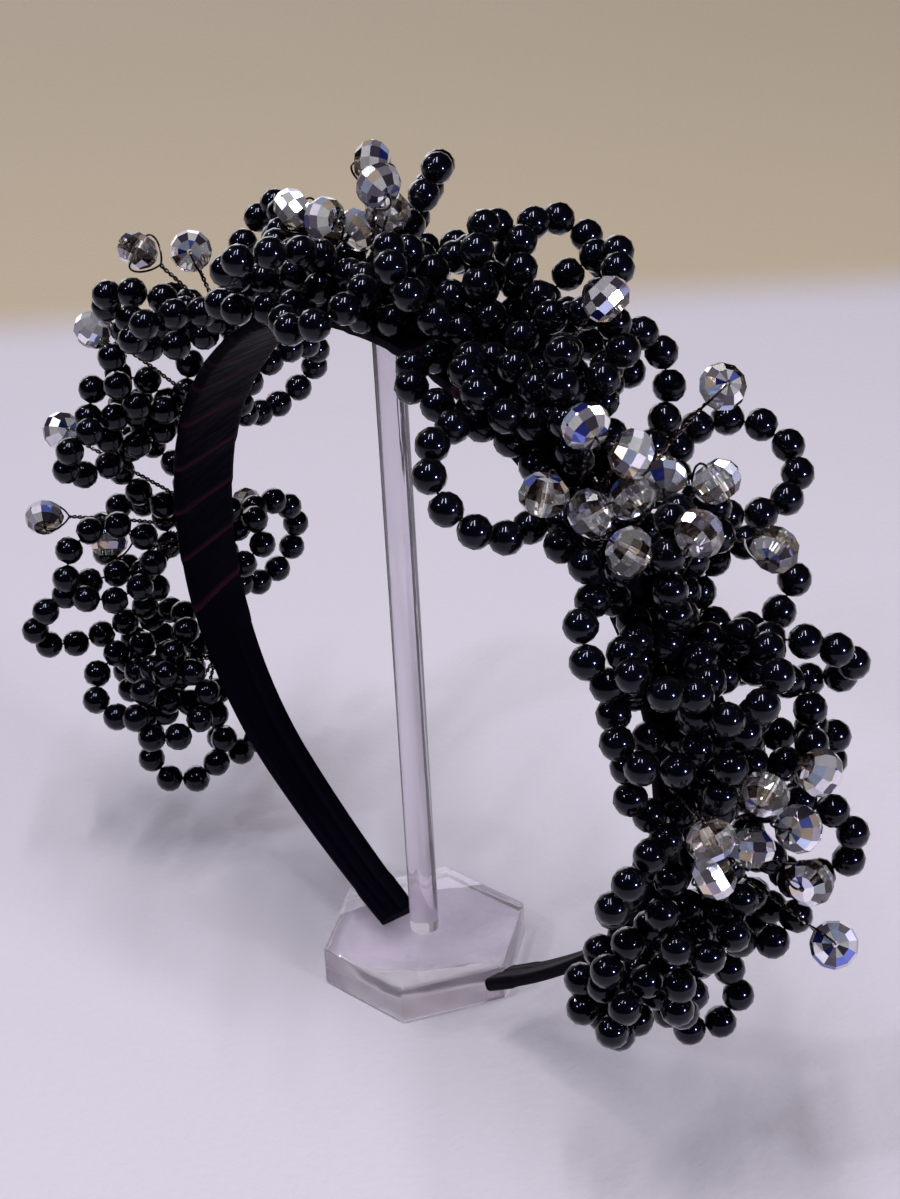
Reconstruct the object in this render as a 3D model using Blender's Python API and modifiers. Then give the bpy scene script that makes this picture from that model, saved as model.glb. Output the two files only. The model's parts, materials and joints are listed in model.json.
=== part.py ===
"""Rhinestone headband on a clear acrylic stand.

A band wound in satin ribbon stands with its crown on an acrylic rod. Ten flowers of wired pearl loops
sit along the outside of the band, with faceted crystals on wire stems between them.

Metres, +Z up, origin at the middle of the stand's underside. +X is towards the near leg of the band,
+Y towards its back edge. Along the band, a station is the length from the crown, positive down the
near leg; an offset is across the band, positive to the back; a height is above its outer face.
"""

import math
from collections import namedtuple

import bmesh
import bpy
import numpy as np
from mathutils import Matrix, Vector

MM = 0.001
GAP = 0.3 * MM

# The stand
BASE_RADIUS = 22 * MM
BASE_THICKNESS = 8.5 * MM
BASE_TURN = math.radians(70.1)
BASE_EDGE = 0.5 * MM
ROD_RADIUS = 3 * MM
ROD_SIDES = 20

# The band: each half is three arcs (radius, angle) from the crown down, and its inner face stands on the rod
CROWN_HEIGHT = 144.5 * MM
BAND_ARCS = ((80 * MM, 48), (57 * MM, 94), (230 * MM, 10.5))
BAND_TILT = math.radians(5.4)
BAND_LEAN = math.radians(1.0)
BAND_SHIFT = -0.8 * MM
CROWN_WIDTH = 19 * MM
TIP_WIDTH = 8.2 * MM
BAND_THICKNESS = 2.4 * MM
BAND_EDGE = 0.7 * MM
BAND_SECTIONS = 48

# Pearls and crystals
PEARL_RADIUS = 3 * MM
PEARL_PITCH = 6.1 * MM
NECK_RADIUS = 1.1 * MM
TUBE_RADIUS = 2.8 * MM
STRAND_RADIUS = 0.8 * MM
HUB_RADIUS = 3 * MM
HUB_HEIGHT = 2.2 * MM
CRYSTAL_RADIUS = 4 * MM
CRYSTAL_LENGTH = 6 * MM
TABLE_RADIUS = 2.2 * MM
CRYSTAL_SIDES = 8
WIRE_RADIUS = 0.5 * MM
WIRE_SINK = 0.6 * MM
WIRE_BOW = 2.5 * MM

# Where the flowers' hubs sit: station and offset in mm
FLOWERS = {
    "A": (-133, -3),
    "B": (-107, -3),
    "C": (-78, -2),
    "D": (-45, -2),
    "E": (-6, 0),
    "F": (33, 0),
    "G": (62, 0),
    "H": (87, 0),
    "I": (117, 0),
    "J": (146, 0),
}

# A loop leaves its hub at a bearing (degrees, 0 down the band's station, 90 to the back) and a lift above
# the band's face, rolled about its own axis; stem is the bare length before the loop in mm, aspect its
# length over its width, and beads is 1 where the pearls are modelled one by one and 0 for a plain tube
Loop = namedtuple("Loop", "flower bearing lift roll pearls stem aspect beads")
LOOPS = [
    Loop(*row)
    for row in (
        ("A", -90, 35, 15, 9, 11, 1.2, 0),
        ("A", -148, 35, 20, 9, 9, 1.2, 0),
        ("A", 176, 20, 60, 7, 9, 1.2, 0),
        ("A", -83, 65, 40, 9, 6, 1.2, 0),
        ("A", -30, 45, 0, 9, 5, 1.2, 0),
        ("A", -115, 15, 10, 8, 4, 1.2, 0),
        ("B", -98, 20, 10, 9, 8, 1.2, 0),
        ("B", -130, 22, 0, 12, 12, 1.7, 0),
        ("B", 116, 14, 0, 11, 12, 1.1, 1),
        ("B", 0, 45, 20, 9, 6, 1.2, 0),
        ("B", -120, 60, 60, 8, 5, 1.2, 0),
        ("B", 112, 8, 0, 7, 6, 1.2, 0),
        ("C", -120, 18, 10, 9, 10, 1.2, 0),
        ("C", -90, 25, 20, 8, 5, 1.2, 0),
        ("C", 102, 12, 0, 11, 16, 1.3, 0),
        ("C", -35, 30, 0, 9, 6, 1.2, 0),
        ("C", 180, 45, 30, 9, 6, 1.2, 0),
        ("D", -110, 30, 10, 8, 7, 1.2, 0),
        ("D", 66, 54, 30, 9, 5, 1.2, 0),
        ("D", -85, 8, 0, 8, 4, 1.2, 0),
        ("D", 180, 25, 30, 9, 6, 1.2, 0),
        ("D", 0, 12, 0, 9, 5, 1.2, 0),
        ("D", 95, 0, 0, 9, 8, 1.2, 0),
        ("E", 62, 48, -28, 8, 8, 1.3, 0),
        ("E", -85, 25, 30, 9, 5, 1.2, 0),
        ("E", -50, 5, 0, 9, 10, 1.2, 0),
        ("E", -120, 8, 0, 9, 5, 1.2, 0),
        ("E", 100, 5, 0, 9, 6, 1.2, 0),
        ("E", -5, 5, 0, 9, 5, 1.2, 0),
        ("E", 170, 30, 20, 8, 5, 1.2, 0),
        ("F", 118, 30, 20, 10, 8, 1.2, 0),
        ("F", 93, 34, -30, 9, 8, 1.2, 0),
        ("F", 151, 37, 30, 9, 7, 1.2, 0),
        ("F", -82, 12, 0, 8, 3, 1.1, 0),
        ("F", 172, 10, 0, 9, 12, 1.2, 0),
        ("F", -40, 20, 0, 9, 5, 1.2, 0),
        ("F", -150, 20, 20, 9, 6, 1.2, 0),
        ("F", 20, 38, 20, 9, 6, 1.2, 0),
        ("F", 60, 10, 0, 8, 5, 1.2, 0),
        ("G", -112, 7, 0, 11, 8, 1.1, 1),
        ("G", 84, 4, 0, 11, 15, 1.1, 1),
        ("G", 138, 20, 20, 10, 7, 1.2, 0),
        ("G", -45, 30, 20, 8, 4, 1.1, 0),
        ("G", 0, 40, 30, 8, 4, 1.2, 0),
        ("G", -160, 40, 30, 9, 5, 1.2, 0),
        ("H", -104, 14, 0, 8, 5, 1.1, 1),
        ("H", 60, 20, 80, 10, 10, 1.3, 0),
        ("H", 100, 18, 0, 8, 4, 1.2, 0),
        ("H", 33, 15, 10, 9, 9, 1.2, 0),
        ("H", -40, 12, 0, 8, 6, 1.2, 0),
        ("H", -170, 35, 30, 9, 5, 1.2, 0),
        ("H", 0, 50, 60, 9, 5, 1.2, 0),
        ("H", -80, 40, 20, 8, 4, 1.2, 0),
        ("I", -88, 14, 0, 8, 6, 1.1, 0),
        ("I", 61, 30, 0, 9, 9, 1.2, 0),
        ("I", 16, 28, 20, 8, 8, 1.1, 0),
        ("I", 115, 15, 0, 9, 5, 1.2, 0),
        ("I", -145, 10, 0, 8, 4, 1.2, 0),
        ("I", -170, 25, 40, 9, 5, 1.2, 0),
        ("I", -40, 30, 20, 8, 4, 1.2, 0),
        ("J", 34, 44, 0, 7, 10, 1.0, 1),
        ("J", -125, 12, 0, 8, 5, 1.2, 0),
        ("J", -92, 18, 30, 8, 4, 1.2, 0),
        ("J", -105, 30, 20, 8, 6, 1.2, 0),
        ("J", -155, 30, 20, 8, 6, 1.2, 0),
        ("J", 150, 20, 0, 8, 6, 1.2, 0),
        ("J", 90, 10, 0, 7, 5, 1.1, 0),
    )
]

# A crystal's flower, and its station, offset and height in mm
Crystal = namedtuple("Crystal", "flower station offset height")
CRYSTALS = [
    Crystal(*row)
    for row in (
        ("E", -1, 2, 26),
        ("E", 7, -4, 25.5),
        ("E", 4, -1, 18),
        ("E", -6, 1, 12),
        ("E", -18, -4, 15),
        ("E", -5, -7, 15),
        ("D", -46, -6, 19),
        ("D", -47, -17, 22),
        ("C", -68, -18, 20),
        ("B", -88, -22, 20),
        ("B", -103, -26, 22),
        ("B", -108, -15, 14),
        ("B", -111, 22, 16),
        ("F", 45, 5, 26),
        ("G", 58, -10, 21),
        ("G", 64, -7, 21),
        ("G", 63, -20, 15),
        ("G", 67, -12, 14.5),
        ("G", 69, -4, 15),
        ("G", 67, 4, 12),
        ("G", 71, 6, 21),
        ("G", 57, 23, 16),
        ("G", 80, 12, 20),
        ("G", 74, -14, 20),
        ("H", 75, -8, 26),
        ("I", 105, 9, 22),
        ("I", 108, -3, 18),
        ("I", 114, 6, 20),
        ("I", 109, -14, 21),
        ("I", 117, 0, 15),
        ("I", 116, -11, 18),
        ("I", 122, 8, 22),
        ("I", 129, 11, 28),
    )
]
FOOT_ALONG, FOOT_ACROSS = 0.5, 0.6

# How the loops are eased apart: rounds, the clear gap, and samples on each wire
ROUNDS = 120
CLEARANCE = 0.2 * MM
CLEARANCE_BETWEEN = 0.6 * MM
WIRE_SAMPLES = 12
REACH = 2.5 * MM


def band_width(station):
    share = abs(station) / BAND_HALF
    return CROWN_WIDTH + (TIP_WIDTH - CROWN_WIDTH) * share


def band_axes():
    """The band's own X, Y and Z in the stand's frame, after its tilt and its lean."""
    tilt = Matrix.Rotation(-BAND_TILT, 3, "Y")
    lean = Matrix.Rotation(-BAND_LEAN, 3, "X")
    return np.array(lean @ tilt).T


def band_frame(station, offset=0.0, height=0.0):
    """A point on or above the band's outer face, and the directions along, across and out from the band."""
    side = math.copysign(1, station)
    left = abs(station)
    x = z = turn = 0.0
    for radius, degrees in BAND_ARCS:
        step = min(left, radius * math.radians(degrees)) / radius
        x += radius * (math.sin(turn + step) - math.sin(turn))
        z += radius * (math.cos(turn + step) - math.cos(turn))
        turn += step
        left -= step * radius
    across = BAND_Y
    along = math.cos(turn) * BAND_X - side * math.sin(turn) * BAND_Z
    out = side * math.sin(turn) * BAND_X + math.cos(turn) * BAND_Z
    inner = BAND_ORIGIN + side * x * BAND_X + z * BAND_Z
    return inner + across * offset + out * (BAND_THICKNESS + height), along, across, out


BAND_HALF = sum(radius * math.radians(degrees) for radius, degrees in BAND_ARCS)
BAND_X, BAND_Y, BAND_Z = band_axes()
BAND_ORIGIN = np.array([0, BAND_SHIFT, CROWN_HEIGHT])


def hub_point(flower, height=HUB_HEIGHT):
    station, offset = FLOWERS[flower]
    return band_frame(station * MM, offset * MM, height)


def loop_pearls(loop):
    """The centres of a loop's pearls on an ellipse whose near end is the stem's length from the hub."""
    hub, along, across, out = hub_point(loop.flower)
    bearing, lift, roll = (math.radians(a) for a in (loop.bearing, loop.lift, loop.roll))
    flat = along * math.cos(bearing) + across * math.sin(bearing)
    ahead = flat * math.cos(lift) + out * math.sin(lift)
    side = across * math.cos(bearing) - along * math.sin(bearing)
    side = side * math.cos(roll) + np.cross(ahead, side) * math.sin(roll)
    half_width = loop.pearls * PEARL_PITCH / (2 * math.pi) / math.sqrt((1 + loop.aspect**2) / 2)
    half_length = half_width * loop.aspect
    turn = np.linspace(0, 2 * math.pi, 361)
    x = half_length * (1 - np.cos(turn))
    y = half_width * np.sin(turn)
    run = np.concatenate([[0], np.cumsum(np.hypot(np.diff(x), np.diff(y)))])
    at = (np.arange(loop.pearls) + 0.5) / loop.pearls * run[-1]
    x, y = np.interp(at, run, x), np.interp(at, run, y)
    return hub + np.outer(loop.stem * MM + x, ahead) + np.outer(y, side)


def crystal_place(crystal):
    """A crystal's middle, and the foot of its wire on the band, nearer its flower's hub."""
    hub_station, hub_offset = FLOWERS[crystal.flower]
    middle = band_frame(crystal.station * MM, crystal.offset * MM, crystal.height * MM)[0]
    station = hub_station + FOOT_ALONG * (crystal.station - hub_station)
    room = band_width(station * MM) / 2 - 2 * MM
    offset = (hub_offset + FOOT_ACROSS * (crystal.offset - hub_offset)) * MM
    foot = band_frame(station * MM, max(-room, min(room, offset)), WIRE_RADIUS + GAP)[0]
    return middle, foot


def wire_route(crystal, middle, foot, share):
    """A point along a crystal's wire, which bows out from the band halfway."""
    bow = hub_point(crystal.flower)[3] * WIRE_BOW
    return foot + (middle - foot) * share + bow * 4 * share * (1 - share)


class Layout:
    """Every pearl, crystal and wire, eased apart from a table of places until they only touch.

    The points that move are the pearls, the crystals' middles and the feet of their wires. Samples are
    taken on them: pearls, the middles between pearls, crystals, and points along the wires.
    """

    def __init__(self):
        rings = [loop_pearls(loop) for loop in LOOPS]
        places = [crystal_place(crystal) for crystal in CRYSTALS]
        hubs = np.array([hub_point(flower, HUB_HEIGHT / 2)[0] for flower in FLOWERS])
        self.starts = np.cumsum([0] + [len(ring) for ring in rings])
        self.pearls = self.starts[-1]
        self.first_crystal = self.pearls
        self.first_foot = self.pearls + len(CRYSTALS)
        self.first_hub = self.first_foot + len(CRYSTALS)
        self.points = np.vstack(rings + [[m for m, _ in places], [f for _, f in places], hubs])
        self.home = self.points.copy()
        stations = np.arange(-BAND_HALF, BAND_HALF, 4 * MM)
        frames = [band_frame(s) for s in stations]
        self.band_points = np.array([f[0] for f in frames])
        self.band_outs = np.array([f[3] for f in frames])
        self.band_halves = np.array([band_width(s) / 2 for s in stations])
        self.make_samples()

    def loop_slice(self, k):
        return slice(self.starts[k], self.starts[k + 1])

    def make_samples(self):
        """Each sample is a weighted sum of points, plus a bow; it has a radius, a node and a loop."""
        rows, radii, nodes, loops, bows = [], [], [], [], []
        count = len(self.points)
        flowers = list(FLOWERS)
        self.linked = np.zeros((self.pearls, self.pearls), bool)

        def sample(weights, radius, node, loop=-1, bow=0.0):
            row = np.zeros(count)
            for index, weight in weights:
                row[index] += weight
            rows.append(row)
            radii.append(radius)
            nodes.append(node)
            loops.append(loop)
            bows.append(bow * np.ones(3))

        for k, loop in enumerate(LOOPS):
            ring = range(*self.loop_slice(k).indices(count))
            for i in ring:
                sample([(i, 1)], PEARL_RADIUS, flowers.index(loop.flower), k)
                after = i + 1 if i + 1 in ring else ring[0]
                self.linked[i, after] = self.linked[after, i] = True
        for k, loop in enumerate(LOOPS):
            node = flowers.index(loop.flower)
            ring = range(*self.loop_slice(k).indices(count))
            for i in ring:
                after = i + 1 if i + 1 in ring else ring[0]
                sample([(i, 0.5), (after, 0.5)], PEARL_RADIUS, node)
            hub = self.first_hub + node
            for t in np.linspace(0.15, 0.9, WIRE_SAMPLES):
                sample([(hub, 1 - t), (ring[0], t / 2), (ring[-1], t / 2)], STRAND_RADIUS, node)
        for k, crystal in enumerate(CRYSTALS):
            node = len(flowers) + k
            middle, foot = self.first_crystal + k, self.first_foot + k
            sample([(middle, 1)], CRYSTAL_RADIUS, node)
            for t in np.linspace(0, 0.85, WIRE_SAMPLES):
                bow = wire_route(crystal, 0, 0, t)
                sample([(foot, 1 - t), (middle, t)], WIRE_RADIUS, node, bow=bow)
        for k in range(len(flowers)):
            sample([(self.first_hub + k, 1)], HUB_RADIUS, k)
        self.weights, self.radii, self.bows = np.array(rows), np.array(radii), np.array(bows)
        self.nodes, self.loops = np.array(nodes), np.array(loops)

    def near_pairs(self, samples):
        """Pairs of samples that must keep clear of each other and lie near enough to matter."""
        pairs = []
        for i in range(len(samples) - 1):
            others = slice(i + 1, None)
            apart = np.linalg.norm(samples[others] - samples[i], axis=1)
            strangers = self.nodes[others] != self.nodes[i]
            gap = np.where(strangers, CLEARANCE_BETWEEN, CLEARANCE)
            need = self.radii[others] + self.radii[i] + gap
            near = (apart < need + REACH) & (strangers | (self.loops[others] >= 0) & (self.loops[i] >= 0))
            if i < self.pearls:
                near[: self.pearls - i - 1] &= ~self.linked[i, i + 1 :]
            pairs += [(i, i + 1 + k, need[k]) for k in np.flatnonzero(near)]
        first, second, need = np.array(pairs).T
        return first.astype(int), second.astype(int), need

    def push_apart(self):
        samples = self.weights @ self.points + self.bows
        if self.round % 10 == 0:
            self.pairs = self.near_pairs(samples)
        first, second, need = self.pairs
        between = samples[first] - samples[second]
        length = np.maximum(np.linalg.norm(between, axis=1), 1e-6)
        push = between * (np.maximum(need - length, 0) / length * 0.5)[:, None]
        moved = np.zeros_like(samples)
        for axis in range(3):
            moved[:, axis] = np.bincount(first, push[:, axis], len(samples))
            moved[:, axis] -= np.bincount(second, push[:, axis], len(samples))
        step = self.weights.T @ moved * 0.6
        step[self.first_crystal : self.first_foot] *= 0.3
        step[self.first_hub :] = 0
        self.points += step

    def keep_shape(self, k):
        """A loop keeps its pearls' pitch, and leans back towards the shape that it had."""
        ring = self.points[self.loop_slice(k)]
        home = self.home[self.loop_slice(k)]
        for _ in range(3):
            ahead = np.roll(ring, -1, 0) - ring
            length = np.linalg.norm(ahead, axis=1, keepdims=True)
            pull = ahead * (length - PEARL_PITCH) / length * 0.45
            ring = ring + pull - np.roll(pull, 1, 0)
        middle, home_middle = ring.mean(0), home.mean(0)
        left, _, right = np.linalg.svd((home - home_middle).T @ (ring - middle))
        turn = left @ np.diag([1, 1, np.sign(np.linalg.det(left @ right))]) @ right
        self.points[self.loop_slice(k)] = ring * 0.7 + ((home - home_middle) @ turn + middle) * 0.3

    def clear_band(self):
        """Keeps pearls and crystals off the band, and the wires' feet on it."""
        radii = [PEARL_RADIUS] * self.pearls + [CRYSTAL_RADIUS] * len(CRYSTALS)
        for i, radius in enumerate(radii):
            nearest = np.argmin(((self.points[i] - self.band_points) ** 2).sum(1))
            out, half = self.band_outs[nearest], self.band_halves[nearest]
            place = self.points[i] - self.band_points[nearest]
            offset, height = place @ BAND_Y, place @ out
            aside = offset - max(-half, min(half, offset))
            above = height - max(-BAND_THICKNESS, min(0, height))
            apart = math.hypot(aside, above)
            if apart < 1e-6:
                self.points[i] += out * (radius + GAP - height)
            elif apart < radius + GAP:
                self.points[i] += (BAND_Y * aside + out * above) / apart * (radius + GAP - apart)
        for i in range(self.first_foot, self.first_hub):
            nearest = np.argmin(((self.points[i] - self.band_points) ** 2).sum(1))
            out, room = self.band_outs[nearest], self.band_halves[nearest] - 1.5 * MM
            place = self.points[i] - self.band_points[nearest]
            offset = place @ BAND_Y
            self.points[i] += out * (WIRE_RADIUS + GAP - place @ out)
            self.points[i] += BAND_Y * (max(-room, min(room, offset)) - offset)

    def settle(self):
        for self.round in range(ROUNDS):
            self.push_apart()
            for k in range(len(LOOPS)):
                self.keep_shape(k)
            stones = slice(self.first_crystal, self.first_hub)
            hold = 0.05 * (1 - self.round / ROUNDS)
            self.points += (self.home - self.points) * 0.004
            self.points[stones] += (self.home[stones] - self.points[stones]) * hold
            self.clear_band()
        return self

    def pearls_of(self, k):
        return self.points[self.loop_slice(k)]

    def crystal_of(self, k):
        return self.points[self.first_crystal + k], self.points[self.first_foot + k]


def clear_scene():
    for obj in list(bpy.data.objects):
        bpy.data.objects.remove(obj, do_unlink=True)


def make_material(name, colour, roughness, metallic=0.0, transmission=0.0):
    material = bpy.data.materials.new(name)
    material.use_nodes = True
    shader = material.node_tree.nodes["Principled BSDF"]
    shader.inputs["Base Color"].default_value = (*colour, 1)
    shader.inputs["Roughness"].default_value = roughness
    shader.inputs["Metallic"].default_value = metallic
    shader.inputs["Transmission Weight"].default_value = transmission
    return material


def add_object(name, data, collection, material=None):
    obj = bpy.data.objects.new(name, data)
    collection.objects.link(obj)
    if material:
        obj.data.materials.append(material)
    return obj


def mesh_object(name, bm, collection, material=None):
    bmesh.ops.recalc_face_normals(bm, faces=bm.faces)
    mesh = bpy.data.meshes.new(name)
    bm.to_mesh(mesh)
    bm.free()
    return add_object(name, mesh, collection, material)


def tube_mesh(name, points, radii, sides, collection, cyclic=False):
    """A round tube through the points, with a radius at each, as a mesh with welded caps."""
    curve = bpy.data.curves.new(name, "CURVE")
    curve.dimensions = "3D"
    curve.bevel_depth = 1.0
    curve.bevel_resolution = (sides - 4) // 2
    curve.use_fill_caps = not cyclic
    spline = curve.splines.new("POLY")
    spline.points.add(len(points) - 1)
    for target, point, radius in zip(spline.points, points, radii):
        target.co = (*point, 1)
        target.radius = radius
    spline.use_cyclic_u = cyclic
    guide = add_object(name + "_curve", curve, collection)
    graph = bpy.context.evaluated_depsgraph_get()
    mesh = bpy.data.meshes.new_from_object(guide.evaluated_get(graph))
    bm = bmesh.new()
    bm.from_mesh(mesh)
    bmesh.ops.remove_doubles(bm, verts=bm.verts, dist=1e-5)
    bpy.data.meshes.remove(mesh)
    bpy.data.objects.remove(guide, do_unlink=True)
    return mesh_object(name, bm, collection)


def join_solids(name, pieces, collection, material):
    """One body from overlapping pieces, by Boolean unions, which are applied."""
    first, *others = pieces
    for other in others:
        union = first.modifiers.new("join " + other.name, "BOOLEAN")
        union.operation = "UNION"
        union.solver = "EXACT"
        union.object = other
    graph = bpy.context.evaluated_depsgraph_get()
    mesh = bpy.data.meshes.new_from_object(first.evaluated_get(graph))
    for piece in pieces:
        bpy.data.objects.remove(piece, do_unlink=True)
    mesh.name = name
    mesh.materials.clear()
    return add_object(name, mesh, collection, material)


def turn_to(direction):
    """The rotation that turns +Z to a direction."""
    return Vector(direction).to_track_quat("Z", "Y").to_matrix().to_4x4()


def build_stand(collection, material):
    bm = bmesh.new()
    turn = Matrix.Rotation(BASE_TURN - math.radians(30), 4, "Z")
    up = Matrix.Translation((0, 0, BASE_THICKNESS / 2))
    bmesh.ops.create_cone(
        bm,
        segments=6,
        radius1=BASE_RADIUS,
        radius2=BASE_RADIUS,
        depth=BASE_THICKNESS,
        cap_ends=True,
        matrix=up @ turn,
    )
    base = mesh_object("stand_base", bm, collection, material)
    edge = base.modifiers.new("polished edges", "BEVEL")
    edge.width = BASE_EDGE
    edge.segments = 1
    bottom = BASE_THICKNESS + GAP
    slope = math.tan(BAND_TILT) + math.tan(BAND_LEAN)
    top = CROWN_HEIGHT - GAP - ROD_RADIUS * slope - ROD_RADIUS**2 / 2 / BAND_ARCS[0][0]
    bm = bmesh.new()
    bmesh.ops.create_cone(
        bm,
        segments=ROD_SIDES,
        radius1=ROD_RADIUS,
        radius2=ROD_RADIUS,
        depth=top - bottom,
        cap_ends=True,
        matrix=Matrix.Translation((0, 0, (top + bottom) / 2)),
    )
    mesh_object("stand_rod", bm, collection, material)


def band_section(station):
    """The band's cross-section at a station: a flat oblong with its four corners cut."""
    half = band_width(station) / 2
    corners = (
        (half, -BAND_EDGE),
        (half - BAND_EDGE, 0),
        (BAND_EDGE - half, 0),
        (-half, -BAND_EDGE),
        (-half, BAND_EDGE - BAND_THICKNESS),
        (BAND_EDGE - half, -BAND_THICKNESS),
        (half - BAND_EDGE, -BAND_THICKNESS),
        (half, BAND_EDGE - BAND_THICKNESS),
    )
    return [Vector(band_frame(station, offset, height)[0]) for offset, height in corners]


def build_band(collection, material):
    bm = bmesh.new()
    rings = []
    for station in np.linspace(-BAND_HALF, BAND_HALF, BAND_SECTIONS + 1):
        rings.append([bm.verts.new(corner) for corner in band_section(station)])
    for ring, after in zip(rings, rings[1:]):
        for k in range(len(ring)):
            m = (k + 1) % len(ring)
            bm.faces.new((ring[k], ring[m], after[m], after[k]))
    bm.faces.new(rings[0])
    bm.faces.new(rings[-1])
    return mesh_object("headband", bm, collection, material)


def loop_solid(name, loop, pearls, collection):
    """A closed string: pearls one by one, or a plain tube through their middles."""
    if not loop.beads:
        return tube_mesh(name, pearls, [TUBE_RADIUS] * len(pearls), 6, collection, cyclic=True)
    points, radii = [], []
    shoulder = 0.55 * PEARL_RADIUS
    for k, pearl in enumerate(pearls):
        before = (pearls[k - 1] + pearl) / 2
        ahead = pearls[(k + 1) % len(pearls)] - pearls[k - 1]
        ahead /= np.linalg.norm(ahead)
        points += [before, pearl - ahead * shoulder, pearl + ahead * shoulder]
        full = math.sqrt(PEARL_RADIUS**2 - shoulder**2) * 1.06
        radii += [NECK_RADIUS, full, full]
    return tube_mesh(name, points, radii, 10, collection, cyclic=True)


def build_flower(flower, layout, collection, material):
    hub, _, _, out = hub_point(flower)
    low = hub_point(flower, GAP)[0]
    bm = bmesh.new()
    bmesh.ops.create_cone(
        bm,
        segments=8,
        radius1=HUB_RADIUS,
        radius2=HUB_RADIUS * 0.7,
        depth=HUB_HEIGHT + STRAND_RADIUS,
        cap_ends=True,
        matrix=Matrix.Translation((low + out * (HUB_HEIGHT + STRAND_RADIUS) / 2)) @ turn_to(out),
    )
    pieces = [mesh_object("hub", bm, collection)]
    for k, loop in enumerate(LOOPS):
        if loop.flower != flower:
            continue
        pearls = layout.pearls_of(k)
        root = (pearls[0] + pearls[-1]) / 2
        strand = tube_mesh(f"strand_{k}", [hub, root], [STRAND_RADIUS] * 2, 6, collection)
        pieces += [strand, loop_solid(f"loop_{k}", loop, pearls, collection)]
    return join_solids("flower_" + flower.lower(), pieces, collection, material)


def crystal_solid(name, middle, stem, turn, collection):
    """A cut rondelle: a flat table at each end of its hole, and triangular facets to its girdle.

    Its hole lies across the stem, turned about the stem by an angle, and the stem enters its girdle.
    """
    hole = Vector(stem).orthogonal().normalized()
    hole = Matrix.Rotation(turn, 3, Vector(stem)) @ hole
    place = Matrix.Translation(middle) @ turn_to(hole)
    bm = bmesh.new()
    rings = (
        (-CRYSTAL_LENGTH / 2, TABLE_RADIUS, 0),
        (0, CRYSTAL_RADIUS, 0.5),
        (CRYSTAL_LENGTH / 2, TABLE_RADIUS, 0),
    )
    for height, radius, shift in rings:
        for k in range(CRYSTAL_SIDES):
            angle = 2 * math.pi * (k + shift) / CRYSTAL_SIDES
            bm.verts.new(place @ Vector((radius * math.cos(angle), radius * math.sin(angle), height)))
    bmesh.ops.convex_hull(bm, input=bm.verts)
    return mesh_object(name, bm, collection)


def build_crystal(k, layout, collection, material):
    """A crystal with the wire stem that bows from its foot on the band."""
    middle, foot = layout.crystal_of(k)
    end = 1 - (CRYSTAL_RADIUS - WIRE_SINK) / np.linalg.norm(middle - foot)
    route = [wire_route(CRYSTALS[k], middle, foot, share) for share in (0, end / 2, end)]
    wire = tube_mesh("wire", route, [WIRE_RADIUS] * 3, 6, collection)
    stem = middle - route[-1]
    stem /= np.linalg.norm(stem)
    turn = k * math.radians(137.5)
    stone = crystal_solid("stone", middle, stem, turn, collection)
    return join_solids(f"crystal_{k + 1:02d}", [stone, wire], collection, material)


def main():
    clear_scene()
    collection = bpy.data.collections.new("rhinestone_headband")
    bpy.context.scene.collection.children.link(collection)
    acrylic = make_material("clear_acrylic", (0.9, 0.92, 0.95), 0.05, transmission=0.9)
    satin = make_material("black_satin", (0.012, 0.008, 0.014), 0.45)
    pearl = make_material("black_pearl", (0.010, 0.011, 0.025), 0.12)
    crystal = make_material("silvered_crystal", (0.75, 0.75, 0.80), 0.05, metallic=0.6)
    build_stand(collection, acrylic)
    build_band(collection, satin)
    layout = Layout().settle()
    for flower in FLOWERS:
        build_flower(flower, layout, collection, pearl)
    for k in range(len(CRYSTALS)):
        build_crystal(k, layout, collection, crystal)


main()
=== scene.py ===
"""The looks of a rhinestone headband on a clear acrylic stand, laid out as a Blender add-on.

A band wound in black satin ribbon carries ten flowers of wired black pearl loops, with faceted
crystals on twisted wire stems between them. Metres, +Z up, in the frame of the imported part. Along
the band, a station is the length from the crown, positive down the near leg; an offset is across
the band, positive to the back; a height is above its outer face.
"""

import json
import math
from collections import namedtuple
from contextlib import contextmanager
from functools import partial

import bpy
import numpy as np
from bpy.props import FloatProperty, FloatVectorProperty, IntProperty, PointerProperty
from mathutils import Matrix, Vector

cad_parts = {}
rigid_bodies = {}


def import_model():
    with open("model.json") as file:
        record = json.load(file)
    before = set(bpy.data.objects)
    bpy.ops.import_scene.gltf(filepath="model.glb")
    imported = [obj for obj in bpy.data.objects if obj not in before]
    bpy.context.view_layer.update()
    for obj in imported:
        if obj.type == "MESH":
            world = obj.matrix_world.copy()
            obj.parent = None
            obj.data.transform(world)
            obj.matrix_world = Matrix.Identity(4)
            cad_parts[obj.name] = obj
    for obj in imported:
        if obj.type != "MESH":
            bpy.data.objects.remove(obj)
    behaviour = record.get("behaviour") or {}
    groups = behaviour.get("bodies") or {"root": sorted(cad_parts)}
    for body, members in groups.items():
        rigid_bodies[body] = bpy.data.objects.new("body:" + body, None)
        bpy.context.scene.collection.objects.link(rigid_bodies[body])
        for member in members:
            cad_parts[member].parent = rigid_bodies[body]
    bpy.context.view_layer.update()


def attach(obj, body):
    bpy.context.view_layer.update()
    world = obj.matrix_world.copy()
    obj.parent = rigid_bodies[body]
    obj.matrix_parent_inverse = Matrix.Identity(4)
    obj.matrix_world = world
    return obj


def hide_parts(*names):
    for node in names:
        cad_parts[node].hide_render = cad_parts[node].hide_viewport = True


bl_info = {
    "name": "Rhinestone headband",
    "version": (1, 0, 0),
    "blender": (4, 5, 0),
    "location": "View3D > Sidebar > Headband",
    "description": "Pearl flowers, crystals, ribbon band and stand of a headband",
    "category": "Object",
}

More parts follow.
